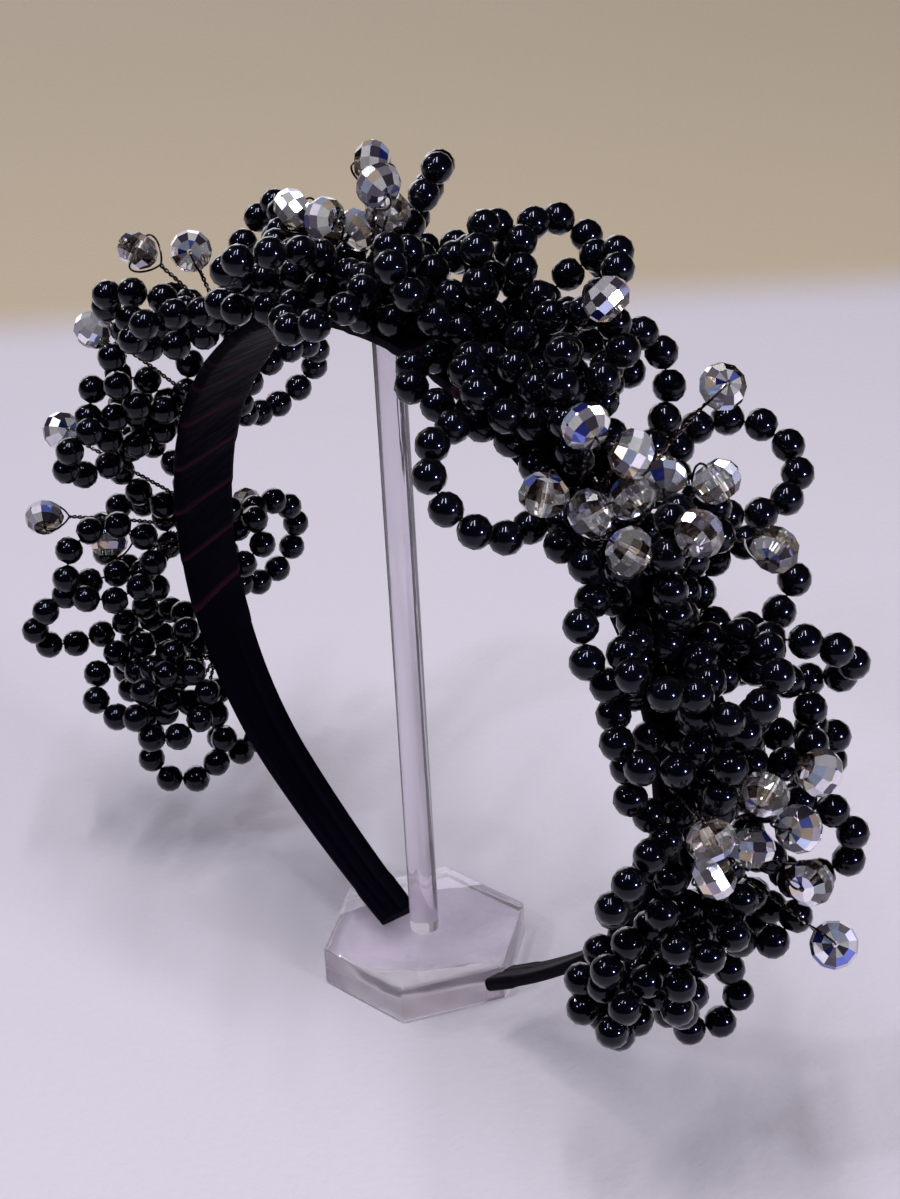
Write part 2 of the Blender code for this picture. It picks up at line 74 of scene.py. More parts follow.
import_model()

MM = 0.001
GAP = 0.3 * MM

# The stand
BASE_RADIUS = 22 * MM
BASE_THICKNESS = 8.5 * MM
BASE_TURN = math.radians(40.1)
BASE_EDGE = 0.5 * MM
ROD_RADIUS = 3 * MM
ROD_SIDES = 48
ROD_EDGE = 0.25 * MM
ROD_FOOT_GAP = 0.02 * MM

# The band: each half is three arcs (radius, degrees) from the crown down. Its inner face stands on
# the rod
CROWN_HEIGHT = 144.5 * MM
BAND_ARCS = ((80 * MM, 48), (57 * MM, 94), (230 * MM, 10.5))
BAND_TILT = math.radians(5.4)
BAND_LEAN = math.radians(1.0)
BAND_SHIFT = -0.8 * MM
CROWN_WIDTH = 19 * MM
TIP_WIDTH = 8.2 * MM
BAND_THICKNESS = 2.4 * MM
BAND_CORNER = 0.84 * MM

# Pearls, the hubs that their loops leave, and crystals on their wires
PEARL_RADIUS = 3 * MM
PEARL_PITCH = 6.1 * MM
STRAND_RADIUS = 0.8 * MM
HUB_RADIUS = 3 * MM
HUB_HEIGHT = 2.2 * MM
CRYSTAL_RADIUS = 4 * MM
CRYSTAL_LENGTH = 6 * MM
TABLE_RADIUS = 2.2 * MM
WIRE_RADIUS = 0.5 * MM
WIRE_SINK = 0.6 * MM
WIRE_BOW = 2.5 * MM
FOOT_ALONG, FOOT_ACROSS = 0.5, 0.6
FOOT_ROOM = 2 * MM

# Where the flowers' hubs sit: station and offset in mm
FLOWERS = {
    "A": (-133, -3),
    "B": (-107, -3),
    "C": (-78, -2),
    "D": (-45, -2),
    "E": (-6, 0),
    "F": (33, 0),
    "G": (62, 0),
    "H": (87, 0),
    "I": (117, 0),
    "J": (146, 0),
}

# Each flower's loops. A loop leaves its hub at a bearing (degrees, 0 down the band's station, 90 to
# the back) and a lift above the band's face, rolled about its own axis; then come its number of
# pearls, the bare length of its stem in mm, and its length over its width where that isn't 1.2
Loop = namedtuple("Loop", "flower bearing lift roll pearls stem aspect", defaults=(1.2,))
FLOWER_LOOPS = {
    "A": (
        (-90, 35, 15, 9, 11), (-148, 35, 20, 9, 9), (176, 20, 60, 7, 9),
        (-83, 65, 40, 9, 6), (-30, 45, 0, 9, 5), (-115, 15, 10, 8, 4),
    ),
    "B": (
        (-98, 20, 10, 9, 8), (-130, 22, 0, 12, 12, 1.7), (116, 14, 0, 11, 12, 1.1),
        (0, 45, 20, 9, 6), (-120, 60, 60, 8, 5), (112, 8, 0, 7, 6),
    ),
    "C": (
        (-120, 18, 10, 9, 10), (-90, 25, 20, 8, 5), (102, 12, 0, 11, 16, 1.3),
        (-35, 30, 0, 9, 6), (180, 45, 30, 9, 6),
    ),
    "D": (
        (-110, 30, 10, 8, 7), (66, 54, 30, 9, 5), (-85, 8, 0, 8, 4),
        (180, 25, 30, 9, 6), (0, 12, 0, 9, 5), (95, 0, 0, 9, 8),
    ),
    "E": (
        (62, 48, -28, 8, 8, 1.3), (-85, 25, 30, 9, 5), (-50, 5, 0, 9, 10),
        (-120, 8, 0, 9, 5), (100, 5, 0, 9, 6), (-5, 5, 0, 9, 5),
        (170, 30, 20, 8, 5),
    ),
    "F": (
        (118, 30, 20, 10, 8), (93, 34, -30, 9, 8), (151, 37, 30, 9, 7),
        (-82, 12, 0, 8, 3, 1.1), (172, 10, 0, 9, 12), (-40, 20, 0, 9, 5),
        (-150, 20, 20, 9, 6), (20, 38, 20, 9, 6), (60, 10, 0, 8, 5),
    ),
    "G": (
        (-112, 7, 0, 11, 8, 1.1), (84, 4, 0, 11, 15, 1.1), (138, 20, 20, 10, 7),
        (-45, 30, 20, 8, 4, 1.1), (0, 40, 30, 8, 4), (-160, 40, 30, 9, 5),
    ),
    "H": (
        (-104, 14, 0, 8, 5, 1.1), (60, 20, 80, 10, 10, 1.3), (100, 18, 0, 8, 4),
        (33, 15, 10, 9, 9), (-40, 12, 0, 8, 6), (-170, 35, 30, 9, 5),
        (0, 50, 60, 9, 5), (-80, 40, 20, 8, 4),
    ),
    "I": (
        (-88, 14, 0, 8, 6, 1.1), (61, 30, 0, 9, 9), (16, 28, 20, 8, 8, 1.1),
        (115, 15, 0, 9, 5), (-145, 10, 0, 8, 4), (-170, 25, 40, 9, 5),
        (-40, 30, 20, 8, 4),
    ),
    "J": (
        (34, 44, 0, 7, 10, 1.0), (-125, 12, 0, 8, 5), (-92, 18, 30, 8, 4),
        (-105, 30, 20, 8, 6), (-155, 30, 20, 8, 6), (150, 20, 0, 8, 6),
        (90, 10, 0, 7, 5, 1.1),
    ),
}
LOOPS = [Loop(flower, *row) for flower, rows in FLOWER_LOOPS.items() for row in rows]

# Each flower's crystals: the station, offset and height of a crystal's middle in mm
Crystal = namedtuple("Crystal", "flower station offset height")
FLOWER_CRYSTALS = {
    "E": ((-1, 2, 26), (7, -4, 25.5), (4, -1, 18), (-6, 1, 12), (-18, -4, 15), (-5, -7, 15)),
    "D": ((-46, -6, 19), (-47, -17, 22)),
    "C": ((-68, -18, 20),),
    "B": ((-88, -22, 20), (-103, -26, 22), (-108, -15, 14), (-111, 22, 16)),
    "F": ((45, 5, 26),),
    "G": (
        (58, -10, 21), (64, -7, 21), (63, -20, 15), (67, -12, 14.5),
        (69, -4, 15), (67, 4, 12), (71, 6, 21), (57, 23, 16),
        (80, 12, 20), (74, -14, 20),
    ),
    "H": ((75, -8, 26),),
    "I": (
        (105, 9, 22), (108, -3, 18), (114, 6, 20), (109, -14, 21),
        (117, 0, 15), (116, -11, 18), (122, 8, 22), (129, 11, 28),
    ),
}
CRYSTALS = [Crystal(flower, *row) for flower, rows in FLOWER_CRYSTALS.items() for row in rows]

# How the loops are eased apart. Each round pushes apart samples that are too near, and every tenth
# looks for them anew. A loop then regains its pitch and leans back to its shape, and all go a
# little towards home, the crystals more. The spans are the shares of a loop's stem and of a
# crystal's wire that are sampled
ROUNDS, ROUNDS_A_SEARCH = 120, 10
PUSH, CRYSTAL_PUSH = 0.6, 0.3
PITCH_ROUNDS, PITCH_PULL = 3, 0.45
SHAPE_KEPT = 0.3
HOME_PULL, CRYSTAL_HOLD = 0.004, 0.05
CLEARANCE = 0.2 * MM
CLEARANCE_BETWEEN = 0.6 * MM
REACH = 2.5 * MM
WIRE_SAMPLES = 12
STRAND_SPAN, WIRE_SPAN = (0.15, 0.9), (0, 0.85)
BAND_STEP = 4 * MM
ELLIPSE_POINTS = 361
FOOT_INSET = 1.5 * MM

# The wires: five-sided, two strands to a twist, and a bow that rises from the knot under a crystal
WIRE_SIDES = 5
TWIST_OFFSET = 0.25 * MM
ARCH_RISE = 1.3 * MM
ARCH_OUT = 2.6 * MM
ARCH_ASIDE = 3.2 * MM
ARCH_DIP = 1.2 * MM
ARCH_POINTS = 14
MOUTH_SHARE, CORE_SHARE = 0.42, 0.43
FOOT_COIL = (1.1 * MM, 0.7 * MM)
FOOT_COIL_RISE = 0.9 * MM

# A pearl, swollen a little to make up for its flat faces, with its hole's mouths sunk
PEARL_SEGMENTS, PEARL_RINGS = 12, 7
PEARL_SWELL = 1.012
MOUTH_SINK = 0.93

# A cut stone: each row's latitude in degrees, and how near it is cut to the blank's surface
FACET_ROWS = ((15, 0.99), (-15, 0.99), (44, 0.975), (-44, 0.975))
BLANK_SWELL = 1.05
TURN_BETWEEN_STONES = math.radians(137.5)
CRYSTAL_SEED = 100

# The satin cover and the wound ribbon: relief across one turn, as places and heights in mm
BAND_AROUND = 44
COVER_ROWS = 200
COVER_INSET = 0.06 * MM
SEAM_SHARE, SEAM_DEPTH, SEAM_HALF = 0.86, 0.3 * MM, 1.1
FOLD_RISE = 0.22 * MM
RIBBON_SINK = 0.3 * MM
RIBBON_FADE = 3 * MM
RIBBON_SEED = 5
RELIEF_PLACES = (0, 0.03, 0.09, 0.25, 0.5, 0.75, 0.93, 1)
RELIEF_HEIGHTS = (0.0, 0.2, 0.24, 0.17, 0.11, 0.07, 0.03, 0.0)

# Tints of the facets and how often each comes: the silvered side, and the bare smoky side. The
# spread from white through grey to near black is painted reflection and painted shade, one to a
# facet; the blue, peach and brown casts are the film's and the smoke's own colours
SILVER_TINTS_AND_PAINTED_LIGHT = (
    ("FCFBFF", 5),
    ("D4D0DA", 4),
    ("8F8796", 3),
    ("C4CFF2", 3),
    ("6A78D0", 1),
    ("27307A", 1),
    ("E3CDBA", 1),
    ("4B4452", 3),
)
SMOKE_TINTS_AND_PAINTED_LIGHT = (("C2B29F", 3), ("FFFFFF", 4), ("3C322B", 5), ("9C93A8", 2))
BORE_TINT, WIRE_TINT = "FFFFFF", "808080"
# The crystals that hang with their bare, smoky side to the front. The others show the silvered one
BARE_SIDE_OUT = {3, 8, 13, 17, 18, 19, 21, 23, 24, 25, 27, 29, 32}
# Where the mirror film faces: its share along the hole, its share from or to the front, and how far
# round the stone it reaches
FILM_ALONG, FILM_AWAY, FILM_OUT = 0.7, -0.6, 0.8
FILM_EDGE = 0.15

# The angle in degrees up to which each finish is smooth across an edge
SMOOTH_TO = {"acrylic": 30, "satin": 40, "pearl": 45, "crystal": 12}

# The camera: its eye, its turn round the stand, height and roll in degrees, and its lens in mm
CAMERA_EYE = (0.3410, -0.2425, 0.3123)
CAMERA_TURN = (53.37, 28.47, -3.01)
CAMERA_LENS, CAMERA_FRAME = 73.7, 36
# The point that the lamps face, how far the floor lies under the foot, and how many mm the cloth's
# edge fades over on either side
LIT_MIDDLE = np.array([0.008, 0.0, 0.095])
FLOOR_DROP = 0.3 * MM
CLOTH_FADE = 25


def band_width(station):
    share = abs(station) / BAND_HALF
    return CROWN_WIDTH + (TIP_WIDTH - CROWN_WIDTH) * share


def band_axes():
    """The band's own X, Y and Z in the stand's frame, after its tilt and its lean."""
    tilt = Matrix.Rotation(-BAND_TILT, 3, "Y")
    lean = Matrix.Rotation(-BAND_LEAN, 3, "X")
    return np.array(lean @ tilt).T


def band_frame(station, offset=0.0, height=0.0):
    """A point on or above the band's outer face, and the directions along, across and out."""
    side = math.copysign(1, station)
    left = abs(station)
    x = z = turn = 0.0
    for radius, degrees in BAND_ARCS:
        step = min(left, radius * math.radians(degrees)) / radius
        x += radius * (math.sin(turn + step) - math.sin(turn))
        z += radius * (math.cos(turn + step) - math.cos(turn))
        turn += step
        left -= step * radius
    along = math.cos(turn) * BAND_X - side * math.sin(turn) * BAND_Z
    out = side * math.sin(turn) * BAND_X + math.cos(turn) * BAND_Z
    inner = BAND_ORIGIN + side * x * BAND_X + z * BAND_Z
    return inner + BAND_Y * offset + out * (BAND_THICKNESS + height), along, BAND_Y, out


BAND_HALF = sum(radius * math.radians(degrees) for radius, degrees in BAND_ARCS)
BAND_X, BAND_Y, BAND_Z = band_axes()
BAND_ORIGIN = np.array([0, BAND_SHIFT, CROWN_HEIGHT])


def hub_point(flower, height=HUB_HEIGHT):
    station, offset = FLOWERS[flower]
    return band_frame(station * MM, offset * MM, height)


def loop_pearls(loop):
    """The centres of a loop's pearls, on an ellipse that starts the stem's length from the hub."""
    hub, along, across, out = hub_point(loop.flower)
    bearing, lift, roll = (math.radians(a) for a in (loop.bearing, loop.lift, loop.roll))
    flat = along * math.cos(bearing) + across * math.sin(bearing)
    ahead = flat * math.cos(lift) + out * math.sin(lift)
    side = across * math.cos(bearing) - along * math.sin(bearing)
    side = side * math.cos(roll) + np.cross(ahead, side) * math.sin(roll)
    half_width = loop.pearls * PEARL_PITCH / (2 * math.pi) / math.sqrt((1 + loop.aspect**2) / 2)
    half_length = half_width * loop.aspect
    turn = np.linspace(0, 2 * math.pi, ELLIPSE_POINTS)
    x = half_length * (1 - np.cos(turn))
    y = half_width * np.sin(turn)
    run = np.concatenate([[0], np.cumsum(np.hypot(np.diff(x), np.diff(y)))])
    at = (np.arange(loop.pearls) + 0.5) / loop.pearls * run[-1]
    x, y = np.interp(at, run, x), np.interp(at, run, y)
    return hub + np.outer(loop.stem * MM + x, ahead) + np.outer(y, side)


def crystal_place(crystal):
    """A crystal's middle, and the foot of its wire on the band, nearer its flower's hub."""
    hub_station, hub_offset = FLOWERS[crystal.flower]
    middle = band_frame(crystal.station * MM, crystal.offset * MM, crystal.height * MM)[0]
    station = hub_station + FOOT_ALONG * (crystal.station - hub_station)
    room = band_width(station * MM) / 2 - FOOT_ROOM
    offset = (hub_offset + FOOT_ACROSS * (crystal.offset - hub_offset)) * MM
    foot = band_frame(station * MM, max(-room, min(room, offset)), WIRE_RADIUS + GAP)[0]
    return middle, foot


def wire_route(crystal, middle, foot, share):
    """A point along a crystal's wire, which bows out from the band halfway."""
    bow = hub_point(crystal.flower)[3] * WIRE_BOW
    return foot + (middle - foot) * share + bow * 4 * share * (1 - share)


class Layout:
    """Every pearl, crystal and wire, eased apart from a table of places until they only touch.

    The points that move are the pearls, the crystals' middles and the feet of their wires. Samples
    are taken on them: pearls, the middles between pearls, crystals, and points along the wires.
    """

    def __init__(self):
        rings = [loop_pearls(loop) for loop in LOOPS]
        places = [crystal_place(crystal) for crystal in CRYSTALS]
        hubs = np.array([hub_point(flower, HUB_HEIGHT / 2)[0] for flower in FLOWERS])
        self.starts = np.cumsum([0] + [loop.pearls for loop in LOOPS])
        self.pearls = self.starts[-1]
        self.first_crystal = self.pearls
        self.first_foot = self.pearls + len(CRYSTALS)
        self.first_hub = self.first_foot + len(CRYSTALS)
        middles, feet = zip(*places)
        self.points = np.vstack([*rings, middles, feet, hubs])
        self.home = self.points.copy()
        stations = np.arange(-BAND_HALF, BAND_HALF, BAND_STEP)
        frames = [band_frame(s) for s in stations]
        self.band_points = np.array([f[0] for f in frames])
        self.band_outs = np.array([f[3] for f in frames])
        self.band_halves = np.array([band_width(s) / 2 for s in stations])
        self.make_samples()

    def loop_slice(self, k):
        return slice(self.starts[k], self.starts[k + 1])

    def make_samples(self):
        """Each sample is a weighted sum of points, plus a bow, with a radius, a node and a loop."""
        rows, radii, nodes, loops, bows = [], [], [], [], []
        count = len(self.points)
        flowers = list(FLOWERS)
        self.linked = np.zeros((self.pearls, self.pearls), bool)

        def sample(weights, radius, node, loop=-1, bow=0.0):
            row = np.zeros(count)
            for index, weight in weights:
                row[index] += weight
            rows.append(row)
            radii.append(radius)
            nodes.append(node)
            loops.append(loop)
            bows.append(bow * np.ones(3))

        for k, loop in enumerate(LOOPS):
            ring = range(*self.loop_slice(k).indices(count))
            for i in ring:
                sample([(i, 1)], PEARL_RADIUS, flowers.index(loop.flower), k)
                after = i + 1 if i + 1 in ring else ring[0]
                self.linked[i, after] = self.linked[after, i] = True
        for k, loop in enumerate(LOOPS):
            node = flowers.index(loop.flower)
            ring = range(*self.loop_slice(k).indices(count))
            for i in ring:
                after = i + 1 if i + 1 in ring else ring[0]
                sample([(i, 0.5), (after, 0.5)], PEARL_RADIUS, node)
            hub = self.first_hub + node
            for t in np.linspace(*STRAND_SPAN, WIRE_SAMPLES):
                sample([(hub, 1 - t), (ring[0], t / 2), (ring[-1], t / 2)], STRAND_RADIUS, node)
        for k, crystal in enumerate(CRYSTALS):
            node = len(flowers) + k
            middle, foot = self.first_crystal + k, self.first_foot + k
            sample([(middle, 1)], CRYSTAL_RADIUS, node)
            for t in np.linspace(*WIRE_SPAN, WIRE_SAMPLES):
                bow = wire_route(crystal, 0, 0, t)
                sample([(foot, 1 - t), (middle, t)], WIRE_RADIUS, node, bow=bow)
        for k in range(len(flowers)):
            sample([(self.first_hub + k, 1)], HUB_RADIUS, k)
        self.weights, self.radii, self.bows = np.array(rows), np.array(radii), np.array(bows)
        self.nodes, self.loops = np.array(nodes), np.array(loops)

    def near_pairs(self, samples):
        """Pairs of samples that must keep clear of each other and lie near enough to matter."""
        pairs = []
        for i in range(len(samples) - 1):
            others = slice(i + 1, None)
            apart = np.linalg.norm(samples[others] - samples[i], axis=1)
            strangers = self.nodes[others] != self.nodes[i]
            gap = np.where(strangers, CLEARANCE_BETWEEN, CLEARANCE)
            need = self.radii[others] + self.radii[i] + gap
            both_pearls = (self.loops[others] >= 0) & (self.loops[i] >= 0)
            near = (apart < need + REACH) & (strangers | both_pearls)
            if i < self.pearls:
                near[: self.pearls - i - 1] &= ~self.linked[i, i + 1 :]
            pairs += [(i, i + 1 + k, need[k]) for k in np.flatnonzero(near)]
        first, second, need = np.array(pairs).T
        return first.astype(int), second.astype(int), need

    def push_apart(self):
        samples = self.weights @ self.points + self.bows
        if self.round % ROUNDS_A_SEARCH == 0:
            self.pairs = self.near_pairs(samples)
        first, second, need = self.pairs
        between = samples[first] - samples[second]
        length = np.maximum(np.linalg.norm(between, axis=1), 1e-6)
        push = between * (np.maximum(need - length, 0) / length * 0.5)[:, None]
        moved = np.zeros_like(samples)
        for axis in range(3):
            moved[:, axis] = np.bincount(first, push[:, axis], len(samples))
            moved[:, axis] -= np.bincount(second, push[:, axis], len(samples))
        step = self.weights.T @ moved * PUSH
        step[self.first_crystal : self.first_foot] *= CRYSTAL_PUSH
        step[self.first_hub :] = 0
        self.points += step

    def keep_shape(self, k):
        """A loop keeps its pearls' pitch, and leans back towards the shape that it had."""
        ring = self.points[self.loop_slice(k)]
        home = self.home[self.loop_slice(k)]
        for _ in range(PITCH_ROUNDS):
            ahead = np.roll(ring, -1, 0) - ring
            length = np.linalg.norm(ahead, axis=1, keepdims=True)
            pull = ahead * (length - PEARL_PITCH) / length * PITCH_PULL
            ring = ring + pull - np.roll(pull, 1, 0)
        middle, home_middle = ring.mean(0), home.mean(0)
        left, _, right = np.linalg.svd((home - home_middle).T @ (ring - middle))
        turn = left @ np.diag([1, 1, np.sign(np.linalg.det(left @ right))]) @ right
        shape = (home - home_middle) @ turn + middle
        self.points[self.loop_slice(k)] = ring * (1 - SHAPE_KEPT) + shape * SHAPE_KEPT

    def clear_band(self):
        """Keeps pearls and crystals off the band, and the wires' feet on it."""
        radii = [PEARL_RADIUS] * self.pearls + [CRYSTAL_RADIUS] * len(CRYSTALS)
        for i, radius in enumerate(radii):
            nearest = np.argmin(((self.points[i] - self.band_points) ** 2).sum(1))
            out, half = self.band_outs[nearest], self.band_halves[nearest]
            place = self.points[i] - self.band_points[nearest]
            offset, height = place @ BAND_Y, place @ out
            aside = offset - max(-half, min(half, offset))
            above = height - max(-BAND_THICKNESS, min(0, height))
            apart = math.hypot(aside, above)
            if apart < 1e-6:
                self.points[i] += out * (radius + GAP - height)
            elif apart < radius + GAP:
                self.points[i] += (BAND_Y * aside + out * above) / apart * (radius + GAP - apart)
        for i in range(self.first_foot, self.first_hub):
            nearest = np.argmin(((self.points[i] - self.band_points) ** 2).sum(1))
            out, room = self.band_outs[nearest], self.band_halves[nearest] - FOOT_INSET
            place = self.points[i] - self.band_points[nearest]
            offset = place @ BAND_Y
            self.points[i] += out * (WIRE_RADIUS + GAP - place @ out)
            self.points[i] += BAND_Y * (max(-room, min(room, offset)) - offset)

    def settle(self):
        for self.round in range(ROUNDS):
            self.push_apart()
            for k in range(len(LOOPS)):
                self.keep_shape(k)
            stones = slice(self.first_crystal, self.first_hub)
            hold = CRYSTAL_HOLD * (1 - self.round / ROUNDS)
            self.points += (self.home - self.points) * HOME_PULL
            self.points[stones] += (self.home[stones] - self.points[stones]) * hold
            self.clear_band()
        return self

    def pearls_of(self, k):
        return self.points[self.loop_slice(k)]

    def crystal_of(self, k):
        return self.points[self.first_crystal + k], self.points[self.first_foot + k]


def select_only(*pieces):
    """Leaves only these pieces selected, the last of them active, in object mode."""
    if bpy.context.object and bpy.context.mode != "OBJECT":
        bpy.ops.object.mode_set(mode="OBJECT")
    bpy.ops.object.select_all(action="DESELECT")
    for piece in pieces:
        piece.select_set(True)
        bpy.context.view_layer.objects.active = piece


@contextmanager
def editing(piece, kind, wanted=None):
    """Edit mode on a piece, with its vertices, edges or faces selected that are wanted, or all."""
    select_only(piece)
    modes = ("vertices", "edges", "polygons")
    bpy.context.tool_settings.mesh_select_mode = [mode == kind for mode in modes]
    for mode in modes:
        items = getattr(piece.data, mode)
        items.foreach_set("select", [False] * len(items))
    for item in getattr(piece.data, kind):
        item.select = wanted is None or bool(wanted(item))
    bpy.ops.object.mode_set(mode="EDIT")
    yield
    bpy.ops.object.mode_set(mode="OBJECT")


def named(piece, name):
    piece.name = name
    piece.data.name = name
    return piece


def settle_in_place(piece):
    """Moves a piece's place, turn and size into its mesh."""
    select_only(piece)
    bpy.ops.object.transform_apply(location=True, rotation=True, scale=True)


def finish_piece(piece, slot, node):
    """Shades a piece as its finish asks, sets it to ride on the root body, and hides the model's
    part that it stands for.
    """
    select_only(piece)
    bpy.ops.object.shade_smooth_by_angle(angle=math.radians(SMOOTH_TO[slot]))
    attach(piece, "root")
    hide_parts(node)


def unit(vector):
    return vector / np.linalg.norm(vector)


def run_along(points):
    """The length run at each point of a path."""
    return np.concatenate([[0], np.cumsum(np.linalg.norm(np.diff(points, axis=0), axis=1))])


def least_axis(direction):
    """The world's axis that a direction lies least along."""
    return np.eye(3)[np.argmin(abs(direction))]


def frames_along(points, closed=False):
    """Directions ahead, sideways and up at each point of a path, turning as little as they can."""
    if closed:
        ahead = np.roll(points, -1, 0) - np.roll(points, 1, 0)
    else:
        ahead = np.gradient(points, axis=0)
    ahead = ahead / np.linalg.norm(ahead, axis=1, keepdims=True)
    sides = []
    side = unit(np.cross(ahead[0], least_axis(ahead[0])))
    for direction in ahead:
        side = unit(side - direction * (side @ direction))
        sides.append(side)
    sides = np.array(sides)
    return ahead, sides, np.cross(ahead, sides)


def resampled(points, step):
    """The same path with its points about a step apart."""
    points = np.asarray(points, float)
    run = run_along(points)
    at = np.linspace(0, run[-1], max(2, round(run[-1] / step) + 1))
    return np.stack([np.interp(at, run, points[:, axis]) for axis in range(3)], 1), at


def bezier(a, b, c, d, count):
    t = np.linspace(0, 1, count)[:, None]
    return a * (1 - t) ** 3 + b * 3 * t * (1 - t) ** 2 + c * 3 * t**2 * (1 - t) + d * t**3


class Bundle:
    """Small shapes gathered from arrays into one mesh, each with its material's slot."""

    def __init__(self, look):
        self.wire, self.pitch = look.wire_radius, look.twist_pitch
        self.verts, self.faces, self.slots, self.count = [], [], [], 0

    def add(self, verts, faces, *slots):
        """Adds a shape with one slot for all its faces, or one for each."""
        self.verts.append(np.asarray(verts))
        self.faces += [[i + self.count for i in face] for face in faces]
        self.slots += slots if len(slots) == len(faces) else slots * len(faces)
        self.count += len(verts)

    def add_wire(self, points, slot, closed=False):
        """A round wire through the points, closed at its ends by flat faces."""
        points = np.asarray(points, float)
        _, side, up = frames_along(points, closed)
        turn = np.arange(WIRE_SIDES) * 2 * math.pi / WIRE_SIDES
        cos, sin = np.cos(turn)[None, :, None], np.sin(turn)[None, :, None]
        ring = cos * side[:, None] + sin * up[:, None]
        verts = (points[:, None] + ring * self.wire).reshape(-1, 3)
        rows = len(points)
        faces = []
        for row in range(rows if closed else rows - 1):
            a, b = row * WIRE_SIDES, (row + 1) % rows * WIRE_SIDES
            for k in range(WIRE_SIDES):
                m = (k + 1) % WIRE_SIDES
                faces.append([a + k, a + m, b + m, b + k])
        if not closed:
            faces.append(list(range(WIRE_SIDES))[::-1])
            faces.append([(rows - 1) * WIRE_SIDES + k for k in range(WIRE_SIDES)])
        self.add(verts, faces, slot)

    def add_twist(self, path, slot):
        """Two wires twisted round a path, eight points to a turn."""
        centre, run = resampled(path, self.pitch / 8)
        _, side, up = frames_along(centre)
        for start in (0, math.pi):
            turn = (run * 2 * math.pi / self.pitch + start)[:, None]
            around = side * np.cos(turn) + up * np.sin(turn)
            self.add_wire(centre + around * TWIST_OFFSET, slot)

    def add_coil(self, middle, axis, radii, rise, turns, slot):
        """A wire wound round an axis, from the first radius to the second, twelve points a turn."""
        axis = unit(axis)
        side = unit(np.cross(axis, least_axis(axis)))
        up = np.cross(axis, side)
        share = np.linspace(0, 1, int(turns * 12) + 1)[:, None]
        turn = share * turns * 2 * math.pi
        radius = radii[0] + (radii[1] - radii[0]) * share
        around = side * np.cos(turn) + up * np.sin(turn)
        self.add_wire(middle + around * radius + axis * share * rise, slot)

    def build(self, name, materials):
        mesh = bpy.data.meshes.new(name)
        mesh.from_pydata(np.vstack(self.verts).tolist(), [], self.faces)
        for material in materials:
            mesh.materials.append(material)
        mesh.polygons.foreach_set("material_index", self.slots)
        mesh.update()
        piece = bpy.data.objects.new(name, mesh)
        bpy.context.scene.collection.objects.link(piece)
        return piece


def mesh_of(piece):
    """A modelled shape's vertices and faces as lists, after which its object is removed."""
    verts = np.array([vertex.co for vertex in piece.data.vertices])
    faces = [list(face.vertices) for face in piece.data.polygons]
    bpy.data.objects.remove(piece, do_unlink=True)
    return verts, faces


def linear(code):
    """An sRGB hex colour as the linear values that a shader takes, opaque."""
    values = [int(code[i : i + 2], 16) / 255 for i in (0, 2, 4)]
    return (*(v / 12.92 if v <= 0.04045 else ((v + 0.055) / 1.055) ** 2.4 for v in values), 1.0)


def feed(tree, node, inputs):
    """Gives a node's inputs their values, or links them to other nodes' outputs."""
    for name, value in inputs.items():
        if isinstance(value, bpy.types.NodeSocket):
            tree.links.new(value, node.inputs[name])
        else:
            node.inputs[name].default_value = value


def add_node(tree, kind, inputs=None, output=0, **settings):
    """Adds a node to a tree with its settings and its inputs, and gives one of its outputs."""
    node = tree.nodes.new("ShaderNode" + kind)
    for name, value in settings.items():
        setattr(node, name, value)
    feed(tree, node, inputs or {})
    return node.outputs[output]


def start_material(name):
    """A new material, what adds a node to it, and its object coordinates in millimetres."""
    material = bpy.data.materials.new(name)
    material.use_nodes = True
    add = partial(add_node, material.node_tree)
    place = add("TexCoord", output="Object")
    return material, add, add("Mapping", {"Vector": place, "Scale": (1 / MM,) * 3})


def finish_material(material, values):
    tree = material.node_tree
    feed(tree, tree.nodes["Principled BSDF"], values)
    return material


def polished_acrylic(look):
    """Cast acrylic, sawn and flame polished: clear, with faint hazy scratches from handling."""
    material, add, place = start_material("polished_cast_acrylic")
    scratch = add("TexNoise", {"Vector": place, "Scale": 0.6, "Detail": 6.0})
    limits = {"From Min": 0.45, "From Max": 0.75, "To Min": 0.0, "To Max": 0.04}
    haze = add("MapRange", {"Value": scratch, **limits})
    wave = add("TexNoise", {"Vector": place, "Scale": 0.12, "Detail": 1.0})
    bump = add("Bump", {"Height": wave, "Strength": 0.05, "Distance": 1 * MM})
    # Cast acrylic lets its shadow through, which a path tracer without caustics draws black
    shadow = add("LightPath", output="Is Shadow Ray")
    through = add("MapRange", {"Value": shadow, "To Min": 1.0, "To Max": 0.3})
    values = {
        "Base Color": look.acrylic_colour,
        "Alpha": through,
        "Roughness": haze,
        "Transmission Weight": 0.92,
        "IOR": 1.49,
        "Normal": bump,
    }
    return finish_material(material, values)


def sawn_acrylic(look):
    """The plate's edges, sawn and scraped: seen through their depth, so mauve and a little dull,
    darkened further by painted reflection.
    """
    material, add, place = start_material("sawn_acrylic_edge")
    # Saw marks stand 0.5 mm apart down the edge
    stretch = add("Mapping", {"Vector": place, "Scale": (2.0, 2.0, 0.2)})
    marks = add("TexNoise", {"Vector": stretch, "Scale": 1.0, "Detail": 2.0})
    bump = add("Bump", {"Height": marks, "Strength": 0.06, "Distance": 1 * MM})
    patch = add("TexNoise", {"Vector": place, "Scale": 0.12, "Detail": 1.0})
    # The sides' dark mauve is partly the acrylic's tint through its depth and partly painted
    # reflection of dark surroundings
    mixed = {0: patch, 6: look.edge_colour, 7: look.acrylic_colour}
    values = {
        "Base Color": add("Mix", mixed, 2, data_type="RGBA"),
        "Roughness": 0.08,
        "Transmission Weight": 0.9,
        "IOR": 1.49,
        "Normal": bump,
    }
    return finish_material(material, values)


